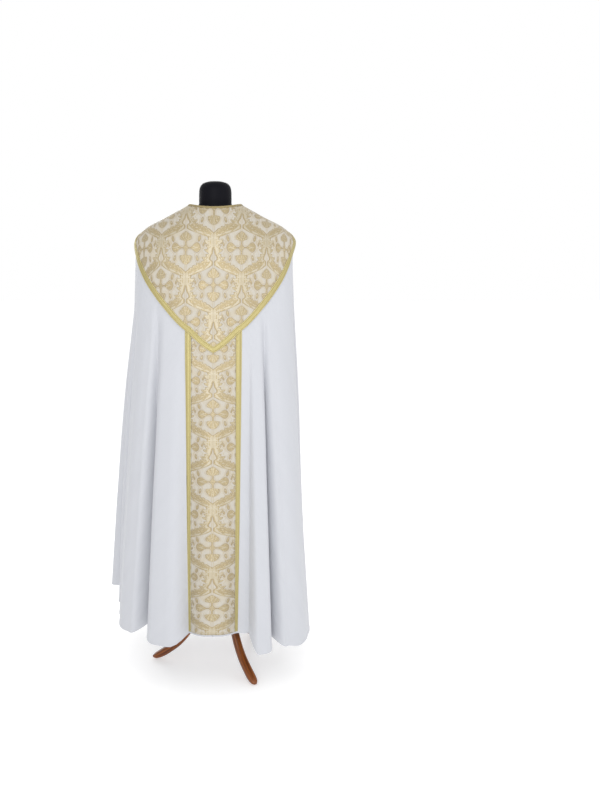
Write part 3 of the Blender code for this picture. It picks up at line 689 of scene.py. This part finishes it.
# the light and the deep gold are the crest and trough colours of the ribs, so their difference is partly
# painted shade; the deep gold also darkens the random slubs
LIGHT_GOLD = (0.545, 0.475, 0.215)
DEEP_GOLD = (0.360, 0.305, 0.120)
BROWN_LINE = (0.230, 0.155, 0.055)
FRONT_GOLD = braid("gold_braid_front", FRONT_BRAID, LIGHT_GOLD, DEEP_GOLD, BROWN_LINE)
PILLAR_GOLD = braid("gold_braid_pillar", PILLAR_BRAID, LIGHT_GOLD, DEEP_GOLD, BROWN_LINE)
HOOD_GOLD = braid("gold_braid_hood", HOOD_BRAID, LIGHT_GOLD, DEEP_GOLD, BROWN_LINE)
NECK_GOLD = braid("dark_braid", BINDING, (0.430, 0.350, 0.170), (0.260, 0.195, 0.085),
                  (0.150, 0.105, 0.045), 0.0016)
print("braid nodes", len(FRONT_GOLD.node_tree.nodes))

# %% [markdown]
# ### Form cover, wood and gilt metal
# The form wears smooth black jersey with hardly any shine. The stand is stained and varnished: grain
# runs along each part, and a clear coat gives the varnish its own sharper shine.

# %% Jersey, wood and metal
jersey = Sums("form_cover")
knit = jersey.noise(900.0, 900.0, 1.0)
jersey.bump(knit, 0.0003, 0.35)
JERSEY = jersey.finish(jersey.mix(knit, (0.004, 0.004, 0.006), (0.008, 0.008, 0.011)), 0.50)
jersey.shader.inputs["Specular IOR Level"].default_value = 0.06

timber = Sums("wood")
grain = timber.noise(180.0, 9.0, 5.0)
pores = timber.step(timber.noise(900.0, 30.0), 0.56, 0.72)
stain = timber.mix(timber.step(grain, 0.32, 0.68), (0.110, 0.026, 0.003), (0.285, 0.080, 0.009))
stain = timber.mix(timber.do("MULTIPLY", pores, 0.45), stain, (0.050, 0.012, 0.004))
timber.bump(grain, 0.0004, 0.25)
WOOD = timber.finish(stain, 0.36)
varnish = timber.shader
varnish.inputs["Specular IOR Level"].default_value = 0.3
varnish.inputs["Coat Weight"].default_value = 0.25
varnish.inputs["Coat Roughness"].default_value = 0.18

gilt = Sums("clasp_metal")
worn = gilt.noise(500.0, 500.0)
GILT = gilt.finish(gilt.mix(worn, (0.720, 0.500, 0.130), (0.860, 0.660, 0.260)), 0.24, 1.0)
base_metal = Sums("clasp_base")
BASE = base_metal.finish((0.300, 0.190, 0.050), 0.45, 0.9)
print("materials", len(bpy.data.materials))

# %% [markdown]
# ## The cope
# The mantle is cut as two quarters of a circle. Columns of its grid fall on every crest and
# trough of the fold table, so each fold keeps its round top. The wall is twice as thick in the
# last few millimetres above the hem, and a little thicker along the front edge.

# %% Mantle
SIDES = ("left", "right")
for side in SIDES:
    knots = [row[0] for row in FOLDS[side] if 1.0 <= row[0] < 2.0]
    columns = np.concatenate([
        [0.0, 0.008, 0.016, 0.024], np.linspace(0.034, 1, 29)[:-1], spread(knots, 11),
        np.linspace(knots[-1], 2.0, 6)[1:-1], np.linspace(2.0, 3.0 - 0.0015, 15)])
    rows = np.concatenate([
        np.linspace(0, LENGTH - HEM_TURN - 0.004, 172), LENGTH - HEM_TURN + np.array([-0.002, 0.0]),
        np.linspace(LENGTH - HEM_TURN + 0.002, LENGTH, 6)])
    grid = surface(side, columns, rows)
    run = np.linalg.norm(np.diff(grid[0], axis=1), axis=-1)
    across = np.concatenate([np.zeros((len(rows), 1)), np.cumsum(run, axis=1)], axis=1)
    uv = np.stack([across, np.repeat(-rows[:, None], len(columns), 1)], -1)
    hem = np.clip((rows - (LENGTH - HEM_TURN)) / 0.002, 0, 1)[:, None]
    edge = np.clip(1 - columns / 0.03, 0, 1)[None]
    heavy = 0.5 + 0.5 * np.maximum(hem, 0.4 * edge)
    cloth("mantle_cloth_" + side, grid, 0.0, 2 * WALL, uv, WHITE,
                         ["mantle_" + side], heavy)

# %% [markdown]
# ## Bands and braid
# Each band lies a hair above the mantle and takes the mantle's folds with it. Its UV starts at
# the middle of the band, so a medallion always sits there.

# %% Front bands, pillar and their braid
LOW = WALL / 2 + GAP + LAYER / 2
FRONT_PHASE, PILLAR_PHASE = 0.690, 0.489     # distance down of a medallion's middle
CORDED = np.array([1.0, 0.95, 0.70, 0.80, 0.85, 0.80, 0.70, 0.95, 1.0])


def strip(name, side, first, last, top, sizes, uv_start, material, node, heavy=None):
    """A band or braid between two cloth places of one half."""
    n_cols, n_rows = sizes
    columns = np.linspace(first, last, n_cols)
    rows = np.linspace(top, LENGTH - HEM_EDGE, n_rows)
    zone = FRONT_ZONE if last <= 1.0 else BACK_ZONE
    uv = flat_map((columns - first) * zone + uv_start[0], uv_start[1] - rows)
    share = None if heavy is None else np.repeat(heavy[None], n_rows, 0)
    piece = cloth(name, surface(side, columns, rows), LOW, LAYER, uv, material, [node], share)
    return piece


for side in SIDES:
    first, last = SELVEDGE / FRONT_ZONE, (SELVEDGE + FRONT_BROCADE) / FRONT_ZONE
    seam = GAP / 2 / FRONT_ZONE
    strip("front_band_" + side, side, first, last - seam, BAND_TOP, (25, 201),
          (-FRONT_BROCADE / 2, FRONT_PHASE), BROCADE, "front_orphrey_" + side)
    strip("front_braid_" + side, side, last + seam, 1.0, BAND_TOP, (9, 401),
          (0.0, 0.0), FRONT_GOLD, "front_galloon_" + side, CORDED)
    seam = GAP / 2 / BACK_ZONE
    strip("pillar_braid_" + side, side, 2.0, 2.0 + PILLAR_BRAID / BACK_ZONE - seam, PILLAR_TOP, (9, 351),
          (0.0, 0.0), PILLAR_GOLD, "back_galloon_" + side, CORDED)

columns = np.linspace(2.0 + PILLAR_BRAID / BACK_ZONE + seam, 3.0, 14)
rows = np.linspace(PILLAR_TOP, LENGTH - HEM_EDGE, 201)
place = (columns - 3) * BACK_ZONE
uv = flat_map(np.concatenate([place, -place[-2::-1]]), PILLAR_PHASE - rows)
pillar = cloth("pillar_band", both(*[surface(side, columns, rows) for side in SIDES]), LOW, LAYER, uv,
               BROCADE, ["back_orphrey"])

# %% [markdown]
# ## Hood
# The hood and the two yoke fronts are one piece of brocade. We first find, for each column of
# cloth, how far down the hood's edge lies, then spread rows between the neck and that edge.
# Its braid runs along the edge, and its inner side is squared to the edge so that it keeps one
# width round the curve and meets in a mitre at the point.

# %% Hood
HOOD_EASE = 0.0008
HIGH = LOW + LAYER + GAP + HOOD_EASE
UPPER = HIGH + LAYER + GAP
HOOD_COLUMNS = np.concatenate([np.linspace(0, 1, 31)[:-1], np.linspace(1, 2, 71)[:-1],
                               np.linspace(2.0, 3.0, 31)])
ACROSS = np.linspace(0, 1, 9)
HOOD_PHASE, HOOD_DRAW = 1.2747, 0.94         # height of its medallion, and how it is drawn out
HOOD_SIDE, HOOD_SPREAD = 0.27, 0.35          # at the shoulder the design is spread by this share
BINDING_LIFT = 0.0005                        # the neck binding lies this much above the braid


def edge_of(columns):
    """The distance down at which each column meets the hood's lower edge."""
    levels = np.arange(0, 0.56, STEP)
    beyond = []
    for d in levels:
        p = drape("left", columns, d, False)
        r = {name: float(smooth(np.array(d), RING[:, 0], RING[:, k]))
             for k, name in enumerate(RING_COLUMNS)}
        front = p[:, 1] + r["side_y"] < 0
        depth = np.where(front, r["front_y"], r["back_y"])
        e = np.where(front, r["front_square"], r["back_square"]) / 2
        angle = np.degrees(np.arctan2((np.abs(p[:, 0]) / r["side_x"]) ** e,
                                      (np.abs(p[:, 1]) / depth) ** e))
        angle = np.where(front, angle, 180 - angle)
        beyond.append(d - np.interp(angle, HOOD_EDGE[:, 0], HOOD_EDGE[:, 1]))
    beyond = np.array(beyond)
    edge = []
    for j in range(len(columns)):
        k = int(np.argmax(beyond[:, j] > 0))
        a, b = beyond[k - 1, j], beyond[k, j]
        edge.append(levels[k - 1] + STEP * a / (a - b))
    return np.array(edge)


edge = edge_of(HOOD_COLUMNS)
edge = np.convolve(np.pad(edge, 1, mode="edge"), [0.25, 0.5, 0.25], "valid")
edge[-1] = HOOD_EDGE[-1, 1]
hood_halves, braid_halves = [], []
for side in SIDES:
    here = surface(side, HOOD_COLUMNS, edge[None], False)[0][0]
    run = np.gradient(here, axis=0)
    down = here - surface(side, HOOD_COLUMNS, edge[None] - 0.01, False)[0][0]
    sine = (np.linalg.norm(np.cross(run, down), axis=1) / np.linalg.norm(run, axis=1)
            / np.linalg.norm(down, axis=1))
    inner = edge - HOOD_BRAID / np.maximum(sine, 0.45)
    share = np.linspace(0, 1, 97)[:, None] ** 0.9
    hood_halves.append(surface(side, HOOD_COLUMNS, share * edge[None], False))
    reach = inner[None] + (edge - inner)[None] * ACROSS[:, None]
    braid_halves.append(surface(side, HOOD_COLUMNS, reach, False))

grid = both(*hood_halves)
across, depth, height = [grid[0][..., k] - (*AXIS[:2], 0.0)[k] for k in range(3)]
ridge = np.interp(np.abs(across), RING[:, 1], RING[:, 3])
fall = ridge - np.sign(depth) * np.hypot(depth, ridge - height)
across = across * (1 + HOOD_SPREAD * (across / HOOD_SIDE) ** 4)
uv = np.stack([across, (fall - HOOD_PHASE) * HOOD_DRAW], -1)
hood = cloth("hood_brocade", grid, HIGH, LAYER, uv, BROCADE, ["hood"])

grid = both(*braid_halves)
run = np.linalg.norm(np.diff(grid[0][-1], axis=0), axis=1)
along = np.concatenate([[0], np.cumsum(run)])
uv = np.stack(np.meshgrid(ACROSS * HOOD_BRAID, along, indexing="ij"), -1)
hood_braid = cloth("hood_braid", grid, UPPER, LAYER, uv, HOOD_GOLD, ["hood_galloon"],
                   np.repeat(CORDED[:, None], len(along), 1))

rows = np.linspace(0, BINDING, 5)
grid = both(*[surface(side, HOOD_COLUMNS, rows, False) for side in SIDES])
run = np.linalg.norm(np.diff(grid[0][0], axis=0), axis=1)
along = np.concatenate([[0], np.cumsum(run)])
uv = np.stack(np.meshgrid(rows, along, indexing="ij"), -1)
neck_edge = cloth("neck_edge", grid, UPPER + BINDING_LIFT, LAYER, uv, NECK_GOLD,
                  ["neck_binding"])

# %% [markdown]
# ## The dress form and its stand
# `skin` closes a row of rings into one smooth solid. The form's body comes from a short table of
# levels, and its rings are read from a smooth curve through that table, so that the neck
# is round and the shoulders slope. The legs are made the same way along their own curve.

# %% Form
def skin(bm, rings):
    """A closed solid over rings of points, with its own UV in metres."""
    layer = bm.loops.layers.uv.verify()
    rings = np.concatenate([rings, rings[:, :1]], 1)
    along = np.concatenate([[0], np.cumsum(np.linalg.norm(np.diff(rings.mean(1), axis=0), axis=1))])
    around = np.linspace(0, float(np.linalg.norm(np.diff(rings[len(rings) // 2], axis=0), axis=1).sum()),
                         rings.shape[1])
    where = net(bm, rings)
    for face in {face for vert in where for face in vert.link_faces}:
        for loop in face.loops:
            k, j = where[loop.vert]
            loop[layer].uv = (around[j], along[k])
    bmesh.ops.remove_doubles(bm, verts=list(where), dist=1e-6)
    rim = [edge for edge in bm.edges if edge.is_boundary]
    bmesh.ops.holes_fill(bm, edges=rim, sides=0)
    bmesh.ops.recalc_face_normals(bm, faces=bm.faces)


def resample(table, count):
    """A smooth curve through a table's rows, by count steps from each row to the next."""
    table = np.asarray(table, float)
    at = np.arange(len(table))
    fine = np.linspace(0, len(table) - 1, (len(table) - 1) * count + 1)
    return np.stack([smooth(fine, at, table[:, k]) for k in range(table.shape[1])], -1)


turn = np.linspace(0, math.tau, 65)[:-1]
rings = []
for height, half, front, back in resample(FORM, 6):
    depth = np.where(np.cos(turn) > 0, -front, back)
    rings.append(np.stack([half * np.sin(turn) + AXIS.x, depth * np.abs(np.cos(turn)) + AXIS.y,
                           np.full(len(turn), height)], -1))
crown = np.array([AXIS.x, AXIS.y, FORM[0, 0]])
dome = [crown + (rings[0] - crown) * share + (0, 0, 0.0012 * (1 - share)) for share in (0.1, 0.4, 0.75)]
bm = bmesh.new()
bm.loops.layers.uv.new("cloth")
skin(bm, np.array(dome + rings))
form = finished(bm, "form_body", JERSEY, ["form_torso"])
print("form", len(form.data.polygons), "faces")

# %% [markdown]
# ### The stand
# A turned post stands in a six-sided hub, and three legs curve out of it nearly to the floor: their
# feet end about 2 mm above it, where the CAD model's feet stand on it. The post
# is a little behind the neck, as on the real one, so the feet don't stand evenly under the cope.

# %% Stand
HUB_TOP, HUB_LOW, HUB_FLAT = 0.335, 0.215, 0.040
POST = [(HUB_TOP + GAP, 0.016), (0.350, 0.016), (0.700, 0.016), (0.740, 0.018), (0.760, 0.020),
        (0.780, 0.026), (FORM[-1, 0] - GAP, 0.030)]
rings = [np.stack([r * np.cos(turn) + POST_AXIS.x, r * np.sin(turn) + POST_AXIS.y,
                   np.full(len(turn), z)], -1) for z, r in resample(POST, 5)]
bm = bmesh.new()
bm.loops.layers.uv.new("cloth")
skin(bm, np.array(rings))
finished(bm, "stand_post", WOOD, ["form_post"])

HUB = [(HUB_LOW - 0.012, 0.50), (HUB_LOW - 0.008, 0.68), (HUB_LOW - 0.002, 0.94), (HUB_LOW + 0.002, 1.0),
       (HUB_TOP - 0.018, 1.0), (HUB_TOP - 0.012, 0.97), (HUB_TOP - 0.003, 0.76), (HUB_TOP, 0.68)]
start = math.radians(90 - LEG_TURN["form_leg_1"] + 30)
side_turn = (turn - start + math.pi / 6) % (math.pi / 3) - math.pi / 6
hexagon = HUB_FLAT / np.cos(math.pi / 6 - np.abs(side_turn))
hexagon = np.minimum(hexagon, HUB_FLAT * 1.10)
rings = [np.stack([hexagon * r * np.cos(turn) + POST_AXIS.x, hexagon * r * np.sin(turn) + POST_AXIS.y,
                   np.full(len(turn), z)], -1) for z, r in HUB]
bm = bmesh.new()
bm.loops.layers.uv.new("cloth")
skin(bm, np.array(rings))
finished(bm, "stand_hub", WOOD, ["form_hub"])

oval = np.linspace(0, math.tau, 33)[:-1]
round_u = np.sign(np.cos(oval)) * np.abs(np.cos(oval)) ** 0.80
round_v = np.sign(np.sin(oval)) * np.abs(np.sin(oval)) ** 0.80
for name, degrees in LEG_TURN.items():
    a = math.radians(degrees)
    way = np.array([math.sin(a), math.cos(a), 0.0])
    aside = np.array([math.cos(a), -math.sin(a), 0.0])
    rows = resample(LEG, 7)
    runs = np.gradient(rows[:, :2], axis=0)
    runs[0] = (1.0, 0.0)
    rings = []
    for (reach, height, thick, wide), (out, up) in zip(rows, runs):
        over = np.array([0, 0, out]) - way * up
        over /= np.linalg.norm(over)
        ring = (np.array(POST_AXIS) + way * reach + (0, 0, height) + aside * (round_u * wide / 2)[:, None]
                + over * (round_v * thick / 2)[:, None])
        ring[:, 2] = np.maximum(ring[:, 2], 0.0)
        rings.append(ring)
    toe = rings[-1].mean(0)
    last = rings[-1]
    rings += [toe + (last - toe) * share + way * ahead
              for share, ahead in ((0.75, 0.0020), (0.4, 0.0034))]
    bm = bmesh.new()
    bm.loops.layers.uv.new("cloth")
    skin(bm, np.array(rings))
    finished(bm, name.replace("form_", "stand_"), WOOD, [name])
print("post, hub and", len(LEG_TURN), "legs done")

# %% [markdown]
# ## Clasp
# Two filigree rosettes sit on the yoke by the neck, with a short chain between them and a small
# hook and eye below. Each rosette is drawn in wire: a scalloped rim, a ring of petals, a smaller
# ring, and a domed middle with beads, over a thin darker plate. The clasp opens by unhooking,
# and here it stays fastened.

# %% Clasp
ROSETTE_HALF = (0.0205, 0.0245)
ROSETTE_PLACE, ROSETTE_DOWN = 0.165, 0.036
CHAIN_PLACE, CHAIN_DOWN, CHAIN_LIFT, CHAIN_SAG = 0.026, 0.0385, 0.0055, 0.004
LOBES = 8
PLATE = ((0.02, 0.0004), (0.90, 0.0004), (0.92, 0.0008), (0.90, 0.0012), (0.02, 0.0014))


def wire(bm, path, radius, sides=8):
    """A round wire along a closed path of points."""
    along = np.roll(path, -1, 0) - np.roll(path, 1, 0)
    along /= np.linalg.norm(along, axis=1, keepdims=True)
    flat = np.linalg.svd(path - path.mean(0))[2][2]
    a = np.cross(along, flat)
    a /= np.linalg.norm(a, axis=1, keepdims=True)
    b = np.cross(along, a)
    spin = np.linspace(0, math.tau, sides + 1)
    rings = (path[:, None] + radius * (a[:, None] * np.cos(spin)[None, :, None]
                                       + b[:, None] * np.sin(spin)[None, :, None]))
    where = net(bm, np.concatenate([rings, rings[:1]], 0))
    bmesh.ops.remove_doubles(bm, verts=list(where), dist=1e-7)


def on_hood(side, c, d, lift):
    """A point above the hood, with the outward direction there."""
    points, normals = surface(side, [c], [d], False)
    return points[0, 0] + normals[0, 0] * lift, normals[0, 0]


def oval_path(centre, one, two, count=24):
    t = np.linspace(0, math.tau, count + 1)[:-1, None]
    return centre + np.cos(t) * one + np.sin(t) * two


for side in SIDES:
    centre, n = on_hood(side, ROSETTE_PLACE, ROSETTE_DOWN, UPPER + LAYER / 2 + 0.0005)
    x_way = np.cross(n, (0, 0, 1.0))
    x_way /= np.linalg.norm(x_way)
    y_way = np.cross(x_way, n)
    x_way, y_way = x_way * ROSETTE_HALF[0], y_way * ROSETTE_HALF[1]
    t = np.linspace(0, math.tau, 97)[:-1, None]
    scallop = 1 - 0.10 * (0.5 - 0.5 * np.cos(LOBES * t))
    bm = bmesh.new()
    plate = [centre + (np.cos(t) * x_way + np.sin(t) * y_way) * scallop * share + n * lift
             for share, lift in PLATE]
    skin(bm, np.array(plate))
    finished(bm, "rosette_plate_" + side, BASE)
    bm = bmesh.new()
    rim = centre + (np.cos(t) * x_way + np.sin(t) * y_way) * scallop * 0.95 + n * 0.0017
    wire(bm, rim, 0.0009)
    for share, lift, radius in ((0.80, 0.0019, 0.0005), (0.40, 0.0024, 0.0007), (0.26, 0.0034, 0.0005)):
        wire(bm, centre + (np.cos(t) * x_way + np.sin(t) * y_way) * share + n * lift, radius)
    for k in range(LOBES):
        a = math.tau * (k + 0.5) / LOBES
        out = math.cos(a) * x_way + math.sin(a) * y_way
        aside = math.cos(a + math.pi / 2) * x_way + math.sin(a + math.pi / 2) * y_way
        half_on = math.cos(a + math.pi / LOBES) * x_way + math.sin(a + math.pi / LOBES) * y_way
        petal = centre + out * 0.60
        wire(bm, oval_path(petal + n * 0.0022, out * 0.185, aside * 0.17, 20), 0.0006, sides=6)
        wire(bm, oval_path(petal + n * 0.0026, out * 0.09, aside * 0.08, 14), 0.0005, sides=6)
        for spot, lift, radius in ((out * 0.60, 0.0027, 0.0009), (half_on * 0.885, 0.0027, 0.0010),
                                   (out * 0.26, 0.0036, 0.0009)):
            made = bmesh.ops.create_icosphere(bm, subdivisions=2, radius=radius)
            bmesh.ops.translate(bm, verts=made["verts"], vec=centre + spot + n * lift)
    made = bmesh.ops.create_uvsphere(bm, u_segments=24, v_segments=12, radius=0.0034)
    bmesh.ops.translate(bm, verts=made["verts"], vec=centre + n * 0.0028)
    bmesh.ops.recalc_face_normals(bm, faces=bm.faces)
    finished(bm, "rosette_" + side, GILT, ["clasp_rosette_" + side])

left_end = on_hood("left", CHAIN_PLACE, CHAIN_DOWN, WALL / 2 + 3 * LAYER + CHAIN_LIFT)[0]
right_end = np.array([2 * AXIS.x - left_end[0], left_end[1], left_end[2]])
LINKS = 7
bm = bmesh.new()
for k in range(LINKS):
    t = (k + 0.5) / LINKS
    middle = left_end + (right_end - left_end) * t - np.array([0, 0, CHAIN_SAG * (1 - (2 * t - 1) ** 2)])
    slope = np.array([1.0, 0.0, -CHAIN_SAG * 4 * (2 * t - 1) / abs(right_end[0] - left_end[0])])
    slope /= np.linalg.norm(slope)
    aside = np.array([0, 1.0, 0]) if k % 2 else np.cross(slope, (0, 1.0, 0))
    length = abs(right_end[0] - left_end[0]) / LINKS
    wire(bm, oval_path(middle, slope * length * 0.72, aside * 0.0019, 18), 0.0005, sides=6)
bmesh.ops.recalc_face_normals(bm, faces=bm.faces)
finished(bm, "clasp_links", GILT, ["clasp_chain"])

HOOK_DOWN = 0.066
left_end = on_hood("left", 0.02, HOOK_DOWN, UPPER + LAYER)[0]
middle = np.array([AXIS.x, left_end[1] - 0.0006, left_end[2]])
LOOP = 0.0056
bm = bmesh.new()
for sign, size in ((1, 0.0032), (-1, 0.0026)):
    loop = oval_path(middle + (sign * 0.0042, 0, 0), np.array([LOOP, 0, 0]), np.array([0, 0, size]), 20)
    wire(bm, loop, 0.0006)
    for up in (-1, 1):
        spot = middle + (sign * 0.0098, 0, up * 0.0018)
        wire(bm, oval_path(spot, np.array([0.0017, 0, 0]), np.array([0, 0, 0.0015]), 14), 0.0005, sides=6)
bmesh.ops.recalc_face_normals(bm, faces=bm.faces)
finished(bm, "hook_and_eye", GILT)
print("clasp done")

# %% [markdown]
# ## Floor, light and camera
# A pale floor and a white studio all round. Its light is weaker from one side, so the folds turn
# away into shade, but the wall itself looks white from everywhere. A soft lamp stands beside the
# camera above chest height and a weaker one to its right, and two more like them light the front.
# The camera looks at the back of the cope from a little below shoulder height.

# %% Stage
def area_light(name, place, aim, size, power):
    lamp = bpy.data.lights.new(name, "AREA")
    lamp.shape = "RECTANGLE"
    lamp.size, lamp.size_y = size
    lamp.energy = power
    thing = bpy.data.objects.new(name, lamp)
    thing.location = place
    thing.rotation_euler = (Vector(aim) - Vector(place)).to_track_quat("-Z", "Y").to_euler()
    bpy.context.scene.collection.objects.link(thing)


bm = bmesh.new()
bmesh.ops.create_grid(bm, x_segments=1, y_segments=1, size=30.0)
mesh = bpy.data.meshes.new("floor")
bm.to_mesh(mesh)
bm.free()
floor = bpy.data.objects.new("floor", mesh)
paint = Sums("pale_floor")
pale_floor = paint.finish((0.74, 0.74, 0.745), 0.9)
paint.shader.inputs["Emission Color"].default_value = (1, 1, 1, 1)
paint.shader.inputs["Emission Strength"].default_value = 0.36
floor.data.materials.append(pale_floor)
bpy.context.scene.collection.objects.link(floor)

area_light("key", (0.3, 3.2, 2.0), (0, 0, 1.35), (1.2, 1.2), 31)
area_light("side", (-2.7, 2.2, 1.6), (0, 0, 1.0), (1.4, 1.8), 10)
area_light("front", (0.5, -3.2, 1.9), (0, 0, 1.25), (1.3, 1.3), 32)
area_light("front side", (2.4, -2.5, 1.5), (0, 0, 1.0), (1.4, 1.8), 10)
FULL_TO, WEAK_FROM = 0.45, 0.90      # sideways part of a direction: full light, then weaker
WEAK = 0.58
world = bpy.data.worlds.new("studio")
world.use_nodes = True
nodes, links = world.node_tree.nodes, world.node_tree.links
way = nodes.new("ShaderNodeSeparateXYZ")
links.new(nodes.new("ShaderNodeTexCoord").outputs["Generated"], way.inputs[0])
dim = nodes.new("ShaderNodeMapRange")
dim.inputs["From Min"].default_value = FULL_TO
dim.inputs["From Max"].default_value = WEAK_FROM
dim.inputs["To Min"].default_value = 1.0
dim.inputs["To Max"].default_value = WEAK
links.new(way.outputs[0], dim.inputs["Value"])
seen = nodes.new("ShaderNodeMath")
seen.operation = "MAXIMUM"
links.new(dim.outputs[0], seen.inputs[0])
links.new(nodes.new("ShaderNodeLightPath").outputs["Is Camera Ray"], seen.inputs[1])
links.new(seen.outputs[0], nodes["Background"].inputs["Strength"])
nodes["Background"].inputs["Color"].default_value = (1.0, 1.0, 1.0, 1)
bpy.context.scene.world = world
bpy.context.scene.view_settings.view_transform = "Standard"

AZIMUTH = math.radians(183)
DISTANCE, HEIGHT = 3.0, 1.37
PITCH, YAW = math.radians(-3.0), math.radians(-2.8)
LENS, SENSOR = 39.06, 36             # millimetres
SHIFT_RIGHT, SHIFT_UP = 0.0525, -0.1115
camera = bpy.data.objects.new("camera", bpy.data.cameras.new("camera"))
camera.location = (AXIS.x + DISTANCE * math.sin(AZIMUTH), AXIS.y - DISTANCE * math.cos(AZIMUTH), HEIGHT)
camera.rotation_euler = (math.radians(90) + PITCH, 0, AZIMUTH + YAW)
camera.data.lens = LENS
camera.data.sensor_width = SENSOR
camera.data.shift_x = SHIFT_RIGHT
camera.data.shift_y = SHIFT_UP
bpy.context.scene.collection.objects.link(camera)
bpy.context.scene.camera = camera
print("camera at", [round(x, 3) for x in camera.location])
